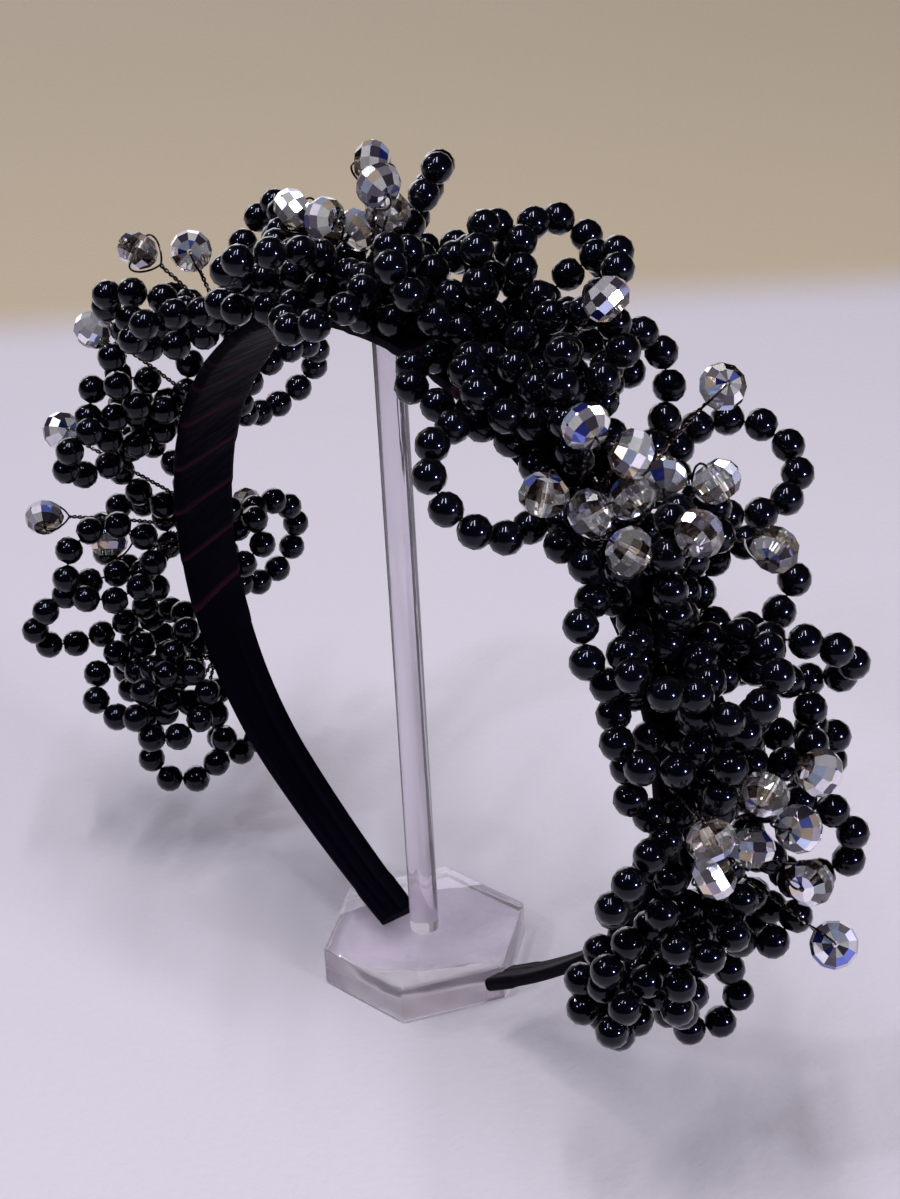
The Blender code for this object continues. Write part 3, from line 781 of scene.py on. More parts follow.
def lacquered_pearl(look):
    """Plastic beads dipped in pearl lacquer: near black, a navy glow under a clear hard gloss."""
    material, add, place = start_material("black_lacquered_bead_pearl")
    cloud = add("TexNoise", {"Vector": place, "Scale": 0.09, "Detail": 2.0})
    mixed = {0: cloud, 6: look.pearl_colour, 7: look.pearl_glow}
    # Lacquer ripples are about 1 mm across and only just bend a reflection
    ripple = add("TexNoise", {"Vector": place, "Scale": 0.9, "Detail": 2.0})
    values = {
        "Base Color": add("Mix", mixed, 2, data_type="RGBA"),
        "Roughness": 0.3,
        "IOR": 1.52,
        "Specular IOR Level": 0.12,
        "Specular Tint": (0.04, 0.07, 0.5, 1.0),
        "Coat Weight": 1.0,
        "Coat Roughness": look.pearl_roughness,
        "Coat IOR": 1.3,
        "Normal": add("Bump", {"Height": ripple, "Strength": 0.02, "Distance": 1 * MM}),
    }
    return finish_material(material, values)


def enamelled_wire(look):
    """Copper craft wire in black enamel: dark, with wine red where the enamel is thin."""
    material, add, place = start_material("black_enamelled_copper_wire")
    patch = add("TexNoise", {"Vector": place, "Scale": 0.8, "Detail": 3.0})
    mixed = {0: patch, 6: look.wire_colour, 7: linear("1E0A0E")}
    values = {
        "Base Color": add("Mix", mixed, 2, data_type="RGBA"),
        "Metallic": 0.6,
        "Roughness": 0.22,
        "Coat Weight": 0.6,
        "Coat Roughness": 0.08,
    }
    return finish_material(material, values)


def silvered_facet():
    """Crystal, ground and fire polished, mirror film behind: each facet has a tint, partly the
    film's own colour and partly painted reflection.
    """
    material, add, place = start_material("silvered_crystal_facets")
    # The per-facet tint is partly the film's colour and partly painted reflection, from white to
    # near black
    facet = add("Attribute", output="Color", attribute_name="facet_tint")
    film = add("TexNoise", {"Vector": place, "Scale": 0.7, "Detail": 3.0})
    limits = {"From Min": 0.3, "From Max": 0.7, "To Min": 0.86, "To Max": 1.0}
    mixed = {0: 1.0, 6: facet, 7: add("MapRange", {"Value": film, **limits})}
    values = {
        "Base Color": add("Mix", mixed, 2, data_type="RGBA", blend_type="MULTIPLY"),
        "Metallic": 0.8,
        "Roughness": 0.06,
        "Coat Weight": 0.5,
        "Coat Roughness": 0.02,
    }
    return finish_material(material, values)


def smoky_facet():
    """The crystal's bare side: smoky glass, in which the drilled hole shows as bright streaks."""
    material, add, place = start_material("smoky_crystal_facets")
    # The per-facet tint is partly the smoke's brown and partly painted light: white facets are
    # painted reflection, near-black ones painted shade
    facet = add("Attribute", output="Color", attribute_name="facet_tint")
    streak = add("TexNoise", {"Vector": place, "Scale": 0.35, "Detail": 2.0}, "Color")
    mixed = {0: 0.25, 6: facet, 7: streak}
    values = {
        "Base Color": add("Mix", mixed, 2, data_type="RGBA", blend_type="MULTIPLY"),
        "Transmission Weight": 0.95,
        "Roughness": 0.0,
        "IOR": 1.56,
    }
    return finish_material(material, values)


def satin_ribbon(look, wound):
    """Polyester satin: near black, a dull violet gloss across its threads, wine along each wrap's
    raised edge, partly the edge's own colour and partly painted sheen.
    """
    material, add, place = start_material(f"{'wound' if wound else 'smooth'}_satin_ribbon")
    mapped = add("UVMap", uv_map="UVMap")
    # Folds run along the ribbon, about 1.5 mm apart
    stretch = (5.0, 5.0 * look.turns, 1.0) if wound else (9.0, 6.0, 1.0)
    drawn = add("Mapping", {"Vector": mapped, "Scale": stretch})
    folds = add("TexNoise", {"Vector": drawn, "Scale": 1.0, "Detail": 4.0})
    tone = look.ribbon_colour
    if wound:
        # Wine laid along each wrap's raised lip: partly the woven edge's own colour, partly painted
        # sheen where the lifted edge would catch light
        along = add("SeparateXYZ", {"Vector": mapped}, "Y")
        turns = add("Math", {0: along, 1: float(look.turns)}, operation="MULTIPLY")
        across = add("Math", {0: turns}, operation="FRACT")
        limits = {"From Min": 0.03, "From Max": 0.16, "To Min": 1.0, "To Max": 0.0}
        edge = add("MapRange", {"Value": across, **limits}, interpolation_type="SMOOTHSTEP")
        wine = add("Math", {0: edge, 1: folds}, operation="MULTIPLY")
        mixed = {0: wine, 6: look.ribbon_colour, 7: look.edge_colour}
        tone = add("Mix", mixed, 2, data_type="RGBA")
    # Threads are 0.1 mm apart, drawn 0.4 mm apart so that they show
    weave = {"Scale": 2.4, "Detail": 2.0, "Roughness": 0.7}
    threads = add("TexNoise", {"Vector": place, **weave})
    soft = add("Bump", {"Height": folds, "Strength": 0.4, "Distance": 1.2 * MM})
    thread_bump = {"Height": threads, "Strength": 0.2, "Distance": 0.3 * MM, "Normal": soft}
    limits = {"From Min": 0.3, "From Max": 0.7, "To Min": 0.46, "To Max": 0.68}
    values = {
        "Base Color": tone,
        "Roughness": add("MapRange", {"Value": folds, **limits}),
        "Specular IOR Level": 0.04,
        "Specular Tint": linear("B4A0F0"),
        "Normal": add("Bump", thread_bump),
    }
    return finish_material(material, values)


def pale_cloth(look):
    """Fine fleece cloth, laid smooth: off-white with a lilac cast, going to warm beige behind."""
    material, add, place = start_material("pale_fleece_cloth")
    ahead = -unit(np.array([*CAMERA_BACK[:2], 0.0]))
    away = add("VectorMath", {0: place, 1: tuple(ahead)}, "Value", operation="DOT_PRODUCT")
    reach = look.cloth_reach / MM
    limits = {"From Min": reach - CLOTH_FADE, "From Max": reach + CLOTH_FADE}
    behind = add("MapRange", {"Value": away, **limits}, interpolation_type="SMOOTHSTEP")
    mixed = {0: behind, 6: look.cloth_colour, 7: look.wall_colour}
    nap = add("TexNoise", {"Vector": place, "Scale": 0.5, "Detail": 4.0})
    values = {
        "Base Color": add("Mix", mixed, 2, data_type="RGBA"),
        "Roughness": 0.9,
        "Sheen Weight": 0.1,
        "Normal": add("Bump", {"Height": nap, "Strength": 0.25, "Distance": 1 * MM}),
    }
    return finish_material(material, values)


def build_base(look):
    """The six-sided foot: a plate cut from acrylic sheet with its arrises eased."""
    select_only()
    bpy.ops.mesh.primitive_cylinder_add(
        vertices=6,
        radius=look.base_radius,
        depth=look.base_thickness,
        location=(0, 0, look.base_thickness / 2),
        rotation=(0, 0, BASE_TURN),
    )
    base = named(bpy.context.object, "acrylic_base")
    settle_in_place(base)
    with editing(base, "edges"):
        bpy.ops.mesh.bevel(offset=look.base_edge, segments=3, affect="EDGES")
    return base


def build_rod(look):
    """The rod: acrylic bar cut square at both ends, its top edge eased, under the leaning band."""
    slope = math.tan(BAND_TILT) + math.tan(BAND_LEAN)
    bottom = look.base_thickness + ROD_FOOT_GAP
    curve = look.rod_radius**2 / 2 / BAND_ARCS[0][0]
    top = CROWN_HEIGHT - GAP - look.rod_radius * slope - curve
    select_only()
    bpy.ops.mesh.primitive_cylinder_add(
        vertices=ROD_SIDES,
        radius=look.rod_radius,
        depth=top - bottom,
        location=(0, 0, (top + bottom) / 2),
    )
    rod = named(bpy.context.object, "acrylic_rod")
    settle_in_place(rod)
    at_top = [vertex.co.z > top - 0.01 * MM for vertex in rod.data.vertices]
    with editing(rod, "edges", lambda edge: all(at_top[v] for v in edge.vertices)):
        bpy.ops.mesh.bevel(offset=ROD_EDGE, segments=2, affect="EDGES")
    return rod


def wrap_edges(look):
    """The stations where each turn of the ribbon starts: not quite even, as when wound by hand."""
    edges = np.linspace(-look.reach, look.reach, look.turns + 1)
    hand = np.random.default_rng(RIBBON_SEED).uniform(-1, 1, look.turns + 1) * look.wander
    hand[0] = hand[-1] = 0
    return edges + hand


def round_the_band(half, count):
    """Offsets and heights of even points round the band's section, from the inner face's front."""
    turn = np.linspace(0, math.pi / 2, 7)
    line = []
    for k, (side, is_outer) in enumerate(((1, False), (1, True), (-1, True), (-1, False))):
        height = -BAND_CORNER if is_outer else BAND_CORNER - BAND_THICKNESS
        centre = np.array([side * half - side * BAND_CORNER, height])
        start = -math.pi / 2 + k * math.pi / 2
        line += [
            centre + BAND_CORNER * np.array([math.cos(start + a), math.sin(start + a)])
            for a in turn
        ]
    line = np.array(line + line[:1])
    run = run_along(line)
    at = np.linspace(0, run[-1], count + 1)
    return np.interp(at, run, line[:, 0]), np.interp(at, run, line[:, 1])


def rolled_sheet(name, across, along, place):
    """A flat sheet rolled round the band and closed, placed by its shares across and along."""
    select_only()
    bpy.ops.mesh.primitive_grid_add(x_subdivisions=across, y_subdivisions=along, size=2)
    sheet = named(bpy.context.object, name)
    for vertex in sheet.data.vertices:
        vertex.co = place((vertex.co.x + 1) / 2, (vertex.co.y + 1) / 2)
    with editing(sheet, "vertices"):
        bpy.ops.mesh.remove_doubles(threshold=0.002 * MM)
        bpy.ops.mesh.select_all(action="SELECT")
        bpy.ops.mesh.fill_holes(sides=0)
        bpy.ops.mesh.select_all(action="SELECT")
        bpy.ops.mesh.normals_make_consistent(inside=False)
    return sheet


def on_the_band(station, share, count, proud):
    """A point round the band, standing proud of its rounded section by a height."""
    half = band_width(station) / 2
    offsets, heights = round_the_band(half, count)
    offset = np.interp(share * count, range(count + 1), offsets)
    height = np.interp(share * count, range(count + 1), heights)
    flat = half - BAND_THICKNESS / 2
    aside = math.copysign(max(0.0, abs(offset) - flat), offset)
    outward = np.array([aside, height + BAND_THICKNESS / 2])
    outward = outward / np.linalg.norm(outward)
    place = band_frame(station, offset + outward[0] * proud, height + outward[1] * proud)
    return Vector(place[0])


def build_ribbon_band(look):
    """The band: a satin cover from tip to tip, and ribbon wound round it between the bare legs."""
    count = BAND_AROUND
    edges = wrap_edges(look)
    turns = look.turns

    def smooth_cover(share, along):
        station = (2 * along - 1) * BAND_HALF
        seam = math.exp(-(((share - SEAM_SHARE) * count / SEAM_HALF) ** 2))
        fold = FOLD_RISE if BAND_HALF - abs(station) < look.fold else 0.0
        return on_the_band(station, share % 1.0, count, fold - COVER_INSET - SEAM_DEPTH * seam)

    def wound_ribbon(share, along):
        turn = along * (turns + 1) - 1
        station = float(np.interp(turn + share, range(turns + 1), edges))
        end = min(station - edges[0], edges[-1] - station)
        rise = np.interp(turn % 1.0, RELIEF_PLACES, RELIEF_HEIGHTS) * MM
        shown = min(1.0, max(0.0, end / RIBBON_FADE))
        return on_the_band(station, share % 1.0, count, (rise + RIBBON_SINK) * shown - RIBBON_SINK)

    cover = rolled_sheet("ribbon_band", count, COVER_ROWS, smooth_cover)
    cover.data.materials.append(satin_ribbon(look, wound=False))
    rows = (turns + 1) * (len(RELIEF_PLACES) - 1)
    wound = rolled_sheet("wound_ribbon", count, rows, wound_ribbon)
    wound.data.materials.append(satin_ribbon(look, wound=True))
    select_only(wound, cover)
    bpy.ops.object.join()
    return named(cover, "ribbon_band")


def turn_pearl(look):
    """One pearl with its drilled hole along Z, the hole's mouths eased and sunk a little."""
    radius = look.pearl_radius * PEARL_SWELL
    select_only()
    bpy.ops.mesh.primitive_uv_sphere_add(
        segments=PEARL_SEGMENTS, ring_count=PEARL_RINGS, radius=radius
    )
    pearl = bpy.context.object
    with editing(pearl, "vertices", lambda vertex: abs(vertex.co.z) > radius * 0.999):
        bpy.ops.mesh.bevel(offset=look.hole_radius, affect="VERTICES")
    with editing(pearl, "polygons", lambda face: len(face.vertices) > 4):
        bpy.ops.transform.resize(value=(1, 1, MOUTH_SINK), center_override=(0, 0, 0))
    return mesh_of(pearl)


def string_flower(flower, look, pearl, materials):
    """A flower: its loops of pearls on wire, twisted stems, and the wire wound round its hub."""
    bundle = Bundle(look)
    verts, faces = pearl
    rng = np.random.default_rng(ord(flower))
    hub, _, _, out = hub_point(flower)
    for k, loop in enumerate(LOOPS):
        if loop.flower != flower:
            continue
        ring = SETTLED.pearls_of(k)
        ahead, side, up = frames_along(ring, closed=True)
        spin = rng.uniform(0, 2 * math.pi, len(ring))
        for middle, a, s, u, turn in zip(ring, ahead, side, up, spin):
            x = s * math.cos(turn) + u * math.sin(turn)
            bundle.add(middle + verts @ np.array([x, np.cross(a, x), a]), faces, 0)
        bundle.add_wire(ring, 1, closed=True)
        bundle.add_twist([hub, (ring[0] + ring[-1]) / 2], 1)
    # Two layers of wire close the hub: seven turns outside, and four inside that stand higher
    foot = hub_point(flower, 0.05 * MM)[0]
    outer = (HUB_RADIUS - look.wire_radius, HUB_RADIUS * 0.62)
    bundle.add_coil(foot, out, outer, HUB_HEIGHT * 0.9, 7, 1)
    bundle.add_coil(foot, out, (HUB_RADIUS * 0.4, HUB_RADIUS * 0.5), HUB_HEIGHT * 1.2, 4, 1)
    return bundle.build(f"flower_{flower.lower()}_pearls", materials)


def cut_stone(look):
    """One rondelle ground from a round blank by flat cuts, and drilled from table to table."""
    radius, facets = look.stone_radius, look.facets
    high = math.sqrt(look.stone_length**2 / 4 / (1 - (TABLE_RADIUS / radius) ** 2))
    select_only()
    bpy.ops.mesh.primitive_cylinder_add(
        vertices=2 * facets, radius=radius * BLANK_SWELL, depth=look.stone_length
    )
    stone = bpy.context.object
    with editing(stone, "polygons"):
        for latitude, share in FACET_ROWS:
            tilt = math.radians(latitude)
            reach = math.hypot(radius * math.cos(tilt), high * math.sin(tilt)) * share
            for k in range(facets):
                turn = 2 * math.pi * k / facets
                level = math.cos(tilt)
                out = Vector((math.cos(turn) * level, math.sin(turn) * level, math.sin(tilt)))
                bpy.ops.mesh.select_all(action="SELECT")
                bpy.ops.mesh.bisect(
                    plane_co=out * reach, plane_no=out, use_fill=True, clear_outer=True
                )
        bpy.ops.mesh.select_all(action="SELECT")
        bpy.ops.mesh.remove_doubles(threshold=0.01 * MM)

    def is_table(face):
        return abs(face.normal.z) > 0.99

    tables = [face for face in stone.data.polygons if is_table(face)]
    corners = [stone.data.vertices[v].co.xy.length for face in tables for v in face.vertices]
    apothem = min(corners) * math.cos(math.pi / facets)
    with editing(stone, "polygons", is_table):
        bpy.ops.mesh.inset(thickness=apothem - look.drill_radius)
        bpy.ops.mesh.bridge_edge_loops()
        bpy.ops.mesh.select_all(action="SELECT")
        bpy.ops.mesh.normals_make_consistent(inside=False)
    return mesh_of(stone)


def hole_axis(k, stem):
    """The direction of a crystal's drilled hole, across its stem."""
    hole = Vector(stem).orthogonal().normalized()
    return np.array(Matrix.Rotation(k * TURN_BETWEEN_STONES, 3, Vector(stem)) @ hole)


def facet_finish(corners, middle, hole, film_side, drill, rng):
    """A facet's slot, silvered or smoky, and its tint, drawn from own colours and painted
    reflections and shade. The drilled hole is silvered, untinted.
    """
    a, b, c = corners[:3]
    normal = unit(np.cross(b - a, c - b))
    is_bore = np.linalg.norm(np.cross(corners.mean(0) - middle, hole)) < drill * 1.2
    silvered = normal @ film_side > FILM_EDGE or is_bore
    palette = SILVER_TINTS_AND_PAINTED_LIGHT if silvered else SMOKE_TINTS_AND_PAINTED_LIGHT
    shares = np.array([share for _, share in palette])
    pick = rng.choice(len(palette), p=shares / shares.sum())
    return 0 if silvered else 1, linear(BORE_TINT if is_bore else palette[pick][0])


def wire_crystal(k, looks, stone, materials):
    """A crystal on the wire that runs through it, bows round it and twists down to the band."""
    crystal = CRYSTALS[k]
    length = looks.crystals.stone_length
    middle, foot = SETTLED.crystal_of(k)
    run = np.linalg.norm(middle - foot)
    end = 1 - (CRYSTAL_RADIUS - WIRE_SINK) / run
    stem = unit(middle - wire_route(crystal, middle, foot, end))
    hole = hole_axis(k, stem)
    verts, faces = stone
    placed = middle + verts @ np.array([stem, np.cross(hole, stem), hole])
    rng = np.random.default_rng(CRYSTAL_SEED + k)
    aside = hole * rng.choice((-FILM_ALONG, FILM_ALONG))
    film_side = unit(aside + CAMERA_BACK * (FILM_AWAY if k + 1 in BARE_SIDE_OUT else FILM_OUT))
    drill = looks.crystals.drill_radius
    finishes = [
        facet_finish(placed[face], middle, hole, film_side, drill, rng) for face in faces
    ]
    bundle = Bundle(looks.pearls)
    bundle.add(placed, faces, *(slot for slot, _ in finishes))
    knot = middle - stem * (CRYSTAL_RADIUS + ARCH_RISE)
    for sign in (1, -1):
        mouth = middle + hole * sign * length * MOUTH_SHARE
        out = middle + hole * sign * (length / 2 + ARCH_OUT)
        near = knot + hole * sign * ARCH_ASIDE + stem * ARCH_DIP
        bundle.add_wire(bezier(mouth, out, near, knot, ARCH_POINTS), 2)
    core = hole * length * CORE_SHARE
    bundle.add_wire([middle - core, middle + core], 2)
    top = max(1 - (CRYSTAL_RADIUS + ARCH_RISE) / run, 0.1)
    route = [wire_route(crystal, middle, foot, share) for share in np.linspace(0, top, 8)]
    route[-1] = knot
    bundle.add_twist(route, 2)
    out = hub_point(crystal.flower)[3]
    bundle.add_coil(foot - out * (WIRE_RADIUS + GAP * 0.5), out, FOOT_COIL, FOOT_COIL_RISE, 2, 2)
    piece = bundle.build(f"crystal_{k + 1:02d}_on_wire", materials)
    # The facets' tints hold painted reflection and painted shade besides the stones' own colours
    tints = [tint for _, tint in finishes]
    tints += [linear(WIRE_TINT)] * (len(piece.data.polygons) - len(tints))
    colours = piece.data.attributes.new("facet_tint", "FLOAT_COLOR", "FACE")
    colours.data.foreach_set("color", np.array(tints).ravel())
    return piece


def camera_axes():
    """The camera's directions right, up and back."""
    turn, tilt, roll = (math.radians(a) for a in CAMERA_TURN)
    level = math.cos(tilt)
    back = np.array([math.sin(turn) * level, -math.cos(turn) * level, math.sin(tilt)])
    right = np.array([math.cos(turn), math.sin(turn), 0])
    up = np.cross(back, right)
    return (
        right * math.cos(roll) + up * math.sin(roll),
        up * math.cos(roll) - right * math.sin(roll),
        back,
    )


def glint_direction(x, y):
    """Where a light is that shows at a place on a pearl, in radii right and up of its middle."""
    z = math.sqrt(1 - x * x - y * y)
    return 2 * z * x, 2 * z * y, 2 * z * z - 1


def turn_to(direction, up):
    """The rotation that turns +Z to a direction, with +Y as near as it can be to another."""
    z = unit(np.asarray(direction))
    x = unit(np.cross(up, z))
    return Matrix(np.array([x, np.cross(z, x), z]).T.tolist()).to_4x4()


def hang_light(name, towards, distance, size, power, colour, only=None):
    """A flat lamp facing the headband, its direction given as right, up and back of the camera."""
    right, up, back = camera_axes()
    direction = unit(right * towards[0] + up * towards[1] + back * towards[2])
    select_only()
    bpy.ops.object.light_add(type="AREA")
    lamp = bpy.context.object
    lamp.name = name
    lamp.data.shape = "DISK" if size[0] == size[1] else "RECTANGLE"
    lamp.data.size, lamp.data.size_y = size
    lamp.data.energy = power
    lamp.data.color = linear(colour)[:3]
    lamp.visible_camera = False
    lamp.visible_transmission = bool(only)
    if only:
        lamp.light_linking.receiver_collection = only
    place = LIT_MIDDLE + direction * distance
    lamp.matrix_world = Matrix.Translation(place) @ turn_to(direction, up)


CAMERA_BACK = camera_axes()[2]
# Each lamp's name, direction, distance, width and height in metres, power in watts and colour
LAMPS = (
    ("overhead strip", glint_direction(0.0, 0.45), 1.1, (0.045, 0.7), 8, "FFFFFF"),
    ("second strip", glint_direction(-0.17, 0.42), 1.1, (0.032, 0.55), 4.5, "FFFFFF"),
    ("back window", (-0.35, 0.55, -0.8), 1.7, (1.4, 1.0), 8, "F6F4FF"),
    ("right spot", glint_direction(0.36, -0.03), 0.8, (0.1, 0.1), 4.5, "FFFFFF"),
    ("left spot", glint_direction(-0.36, 0.22), 1.0, (0.07, 0.07), 2, "F2F4FF"),
    ("far spot", glint_direction(-0.42, 0.6), 1.2, (0.07, 0.07), 1.6, "FFFFFF"),
)
# Panels that only the crystals mirror, so that their facets sparkle while the pearls stay black
SPARKLES = (
    ("left panel", glint_direction(-0.4, 0.3), 0.6, (0.45, 0.4), 1.3, "FFFFFF"),
    ("right panel", glint_direction(0.35, -0.3), 0.6, (0.25, 0.25), 0.9, "E6EAFF"),
    ("top panel", glint_direction(0.15, 0.72), 0.6, (0.3, 0.3), 1.3, "FFFFFF"),
    ("side panel", glint_direction(0.72, 0.15), 0.6, (0.2, 0.3), 0.9, "C8D0FF"),
    ("low panel", glint_direction(-0.2, -0.6), 0.5, (0.2, 0.15), 0.4, "FFE0C8"),
    ("far panel", glint_direction(-0.75, -0.2), 0.6, (0.2, 0.2), 0.8, "E8E0F0"),
    ("near panel", glint_direction(0.08, 0.16), 0.6, (0.12, 0.12), 0.4, "FFFFFF"),
    ("left low panel", glint_direction(-0.5, -0.4), 0.6, (0.1, 0.1), 0.25, "FFEEDD"),
    ("right high panel", glint_direction(0.5, 0.5), 0.6, (0.1, 0.1), 0.25, "DDE2FF"),
)
SETTLED = Layout().settle()


def length(name, description, default):
    """A size with its unit, shown to the hundredth of a millimetre."""
    return FloatProperty(
        name=name,
        description=description,
        default=default,
        min=0.0,
        precision=5,
        unit="LENGTH",
        subtype="DISTANCE",
    )


def colour(name, description, code):
    """A colour with a swatch, whose default is an sRGB hex value."""
    return FloatVectorProperty(
        name=name,
        description=description,
        size=4,
        default=linear(code),
        min=0.0,
        max=1.0,
        subtype="COLOR",
    )


class StandLook(bpy.types.PropertyGroup):
    """The acrylic stand."""

    acrylic_colour: colour("Acrylic", "Tint of the clear acrylic", "E9E3EC")
    # Partly painted reflection: darkens the base's sides as if they mirrored dark surroundings
    edge_colour: colour("Sawn edge", "Tint seen through the base's sawn edges", "6E5568")
    base_radius: length("Base radius", "From the base's middle to a corner", BASE_RADIUS)
    base_thickness: length("Base thickness", "Thickness of the base's plate", BASE_THICKNESS)
    base_edge: length("Eased edge", "Width taken off the base's sharp edges", BASE_EDGE)
    rod_radius: length("Rod radius", "Radius of the upright rod", ROD_RADIUS)


class RibbonLook(bpy.types.PropertyGroup):
    """The satin that the band is covered and wound in."""

    ribbon_colour: colour("Ribbon", "Colour of the satin", "030207")
    # Partly painted sheen: this wine is laid along each wrap's raised edge
    edge_colour: colour("Edges", "Colour of the ribbon's woven edges", "321422")
    turns: IntProperty(
        name="Turns", description="Turns of ribbon between the bare legs", default=23, min=2
    )
    reach: length("Wound reach", "Length wound down each leg from the crown", 130 * MM)
    wander: length("Wander", "How far a turn strays from its even place", 1.6 * MM)
    fold: length("Folded end", "Length of the cover folded under at each tip", 9 * MM)


class PearlLook(bpy.types.PropertyGroup):
    """The pearls and their wire."""

    pearl_colour: colour("Pearls", "Colour of the lacquer", "020203")
    pearl_glow: colour("Glow", "Paler lacquer where it is thick", "040407")
    wire_colour: colour("Wire", "Colour of the enamel on the wire", "141014")
    pearl_radius: length("Pearl radius", "Radius of a pearl", PEARL_RADIUS)
    hole_radius: length("Hole radius", "Radius of the drilled hole's eased mouth", 0.45 * MM)
    wire_radius: length("Wire radius", "Radius of one strand of the wire", 0.22 * MM)
    twist_pitch: length("Twist pitch", "Length of one full twist of two strands", 2.4 * MM)
    pearl_roughness: FloatProperty(
        name="Gloss",
        description="Roughness of the lacquer's surface",
        default=0.015,
        min=0.0,
        max=1.0,
        subtype="FACTOR",
    )


class CrystalLook(bpy.types.PropertyGroup):
    """The cut stones."""

    stone_radius: length("Stone radius", "Radius of a rondelle", CRYSTAL_RADIUS)
    stone_length: length("Stone length", "Length from table to table", CRYSTAL_LENGTH)
    drill_radius: length("Drilled hole", "Radius of the hole through a stone", 0.5 * MM)
    facets: IntProperty(
        name="Facets", description="Facets in a row round a stone", default=11, min=6, max=24
    )


class StageLook(bpy.types.PropertyGroup):
    """The floor, the lamps and the camera."""

    cloth_colour: colour("Cloth", "Colour of the floor's cloth", "A39EAA")
    wall_colour: colour("Beyond", "Colour of the floor beyond the cloth", "958672")
    cloth_reach: length("Cloth reach", "How far behind the stand the cloth reaches", 0.37)
    floor_size: length("Floor size", "Length of the floor's sides", 8.0)
    daylight: FloatProperty(
        name="Daylight", description="Strength of the light all round", default=0.6, min=0.0
    )
    lens: FloatProperty(
        name="Lens",
        description="Focal length in mm for a 36 mm frame",
        default=CAMERA_LENS,
        min=1.0,
    )


class HeadbandLook(bpy.types.PropertyGroup):
    """Everything that a user may change."""

    stand: PointerProperty(type=StandLook, name="Stand", description="The acrylic stand")
    ribbon: PointerProperty(type=RibbonLook, name="Ribbon", description="The band's satin")
    pearls: PointerProperty(type=PearlLook, name="Pearls", description="Pearls and wire")
    crystals: PointerProperty(type=CrystalLook, name="Crystals", description="The cut stones")
    stage: PointerProperty(type=StageLook, name="Stage", description="Floor, lamps and camera")


class HEADBAND_OT_make_stand(bpy.types.Operator):
    """Makes the six-sided base and the rod in clear acrylic."""

    bl_idname = "headband.make_stand"
    bl_label = "Make the stand"

    def execute(self, context):
        look = context.scene.headband_look.stand
        acrylic = polished_acrylic(look)
        base, rod = build_base(look), build_rod(look)
        base.data.materials.append(acrylic)
        base.data.materials.append(sawn_acrylic(look))
        for face in base.data.polygons:
            face.material_index = int(abs(face.normal.z) < 0.1)
        rod.data.materials.append(acrylic)
        finish_piece(base, "acrylic", "stand_base")
        finish_piece(rod, "acrylic", "stand_rod")
        return {"FINISHED"}


class HEADBAND_OT_wind_ribbon(bpy.types.Operator):
    """Covers the band in satin and winds it with ribbon."""

    bl_idname = "headband.wind_ribbon"
    bl_label = "Wind the ribbon"

    def execute(self, context):
        band = build_ribbon_band(context.scene.headband_look.ribbon)
        finish_piece(band, "satin", "headband")
        return {"FINISHED"}


class HEADBAND_OT_string_flowers(bpy.types.Operator):
    """Strings the ten flowers of pearl loops."""

    bl_idname = "headband.string_flowers"
    bl_label = "String the flowers"

    def execute(self, context):
        look = context.scene.headband_look.pearls
        materials = (lacquered_pearl(look), enamelled_wire(look))
        pearl = turn_pearl(look)
        for flower in FLOWERS:
            piece = string_flower(flower, look, pearl, materials)
            finish_piece(piece, "pearl", f"flower_{flower.lower()}")
        return {"FINISHED"}


class HEADBAND_OT_wire_crystals(bpy.types.Operator):
    """Cuts the crystals and hangs each on its twisted wire."""

    bl_idname = "headband.wire_crystals"
    bl_label = "Wire the crystals"

    def execute(self, context):
        looks = context.scene.headband_look
        materials = (silvered_facet(), smoky_facet(), enamelled_wire(looks.pearls))
        stone = cut_stone(looks.crystals)
        for k in range(len(CRYSTALS)):
            piece = wire_crystal(k, looks, stone, materials)
            finish_piece(piece, "crystal", f"crystal_{k + 1:02d}")
        return {"FINISHED"}


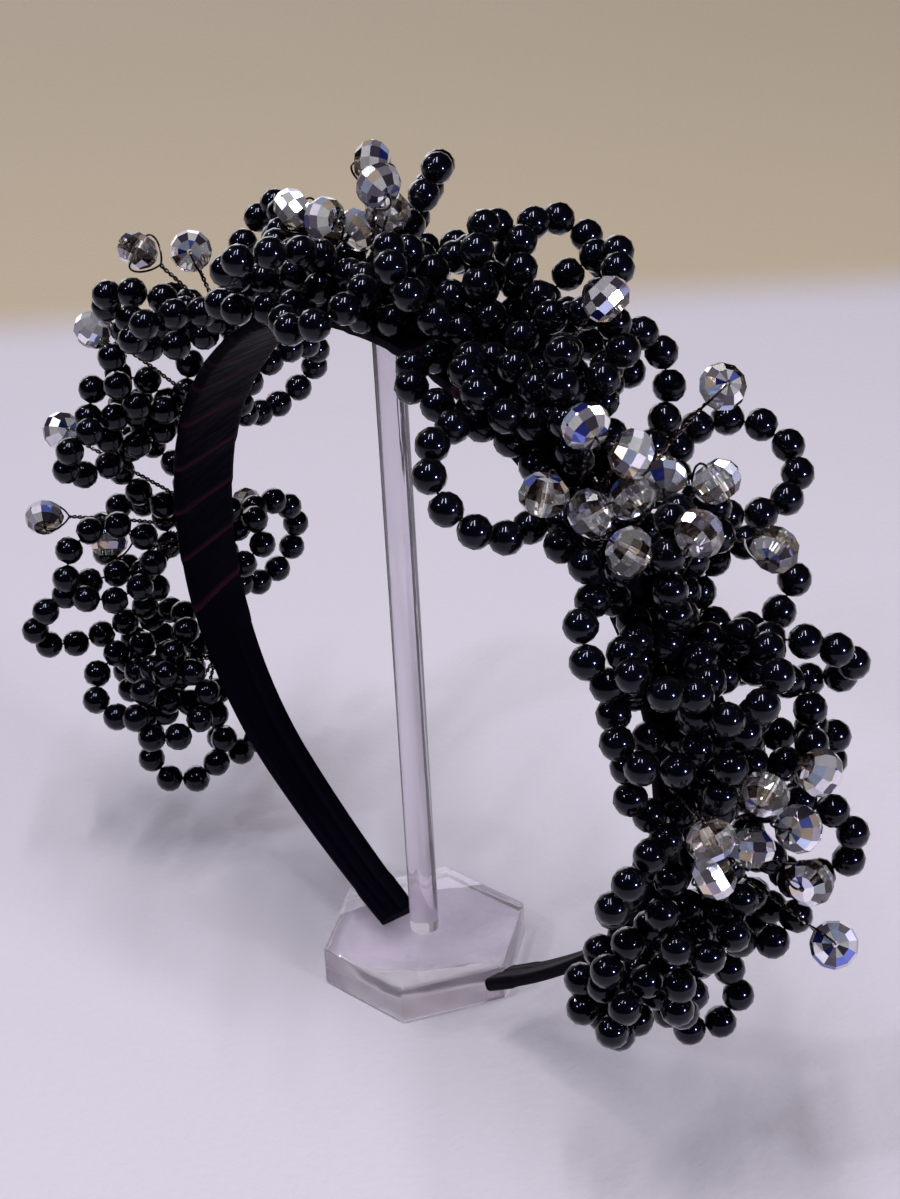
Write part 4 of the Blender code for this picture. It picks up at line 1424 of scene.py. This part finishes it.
class HEADBAND_OT_set_stage(bpy.types.Operator):
    """Lays the floor, hangs the lamps and places the camera."""

    bl_idname = "headband.set_stage"
    bl_label = "Set the stage"

    def execute(self, context):
        look = context.scene.headband_look.stage
        select_only()
        bpy.ops.mesh.primitive_plane_add(size=look.floor_size, location=(0, 0, -FLOOR_DROP))
        floor = named(context.object, "floor_cloth")
        settle_in_place(floor)
        floor.data.materials.append(pale_cloth(look))
        self.hang_lamps(context)
        self.light_the_sky(context, look)
        self.place_camera(context, look)
        context.scene.view_settings.view_transform = "Standard"
        return {"FINISHED"}

    def hang_lamps(self, context):
        for lamp in LAMPS:
            hang_light(*lamp)
        crystals = bpy.data.collections.new("crystals")
        for piece in context.scene.objects:
            if piece.name.startswith("crystal_"):
                crystals.objects.link(piece)
        for lamp in SPARKLES:
            hang_light(*lamp, only=crystals)

    def light_the_sky(self, context, look):
        world = bpy.data.worlds.new("soft daylight")
        context.scene.world = world
        world.use_nodes = True
        sky = world.node_tree.nodes["Background"]
        sky.inputs["Color"].default_value = linear("F4F2F6")
        sky.inputs["Strength"].default_value = look.daylight
        # The pearls and facets mirror the lamps and the floor alone, and stay black between glints
        world.cycles_visibility.glossy = False

    def place_camera(self, context, look):
        bpy.ops.object.camera_add()
        camera = context.object
        camera.name = "camera"
        turn = Matrix(np.array(camera_axes()).T.tolist()).to_4x4()
        camera.matrix_world = Matrix.Translation(CAMERA_EYE) @ turn
        camera.data.sensor_fit = "AUTO"
        camera.data.sensor_width = CAMERA_FRAME
        camera.data.lens = look.lens
        camera.data.clip_start = 10 * MM
        context.scene.camera = camera


class HEADBAND_PT_panel(bpy.types.Panel):
    """Lists the headband's looks and the operators that make it."""

    bl_label = "Rhinestone headband"
    bl_idname = "HEADBAND_PT_panel"
    bl_space_type = "VIEW_3D"
    bl_region_type = "UI"
    bl_category = "Headband"

    def draw(self, context):
        look = context.scene.headband_look
        for group in (look.stand, look.ribbon, look.pearls, look.crystals, look.stage):
            box = self.layout.box()
            for name in type(group).__annotations__:
                box.prop(group, name)
        for step in STEPS:
            self.layout.operator(step.bl_idname)


STEPS = (
    HEADBAND_OT_make_stand,
    HEADBAND_OT_wind_ribbon,
    HEADBAND_OT_string_flowers,
    HEADBAND_OT_wire_crystals,
    HEADBAND_OT_set_stage,
)
GROUPS = (StandLook, RibbonLook, PearlLook, CrystalLook, StageLook, HeadbandLook)
CLASSES = (*GROUPS, *STEPS, HEADBAND_PT_panel)


def register():
    for cls in CLASSES:
        bpy.utils.register_class(cls)
    bpy.types.Scene.headband_look = PointerProperty(type=HeadbandLook)


def unregister():
    del bpy.types.Scene.headband_look
    for cls in reversed(CLASSES):
        bpy.utils.unregister_class(cls)


def main():
    register()
    bpy.ops.headband.make_stand()
    bpy.ops.headband.wind_ribbon()
    bpy.ops.headband.string_flowers()
    bpy.ops.headband.wire_crystals()
    bpy.ops.headband.set_stage()
    bpy.context.view_layer.update()


if __name__ == "__main__":
    main()
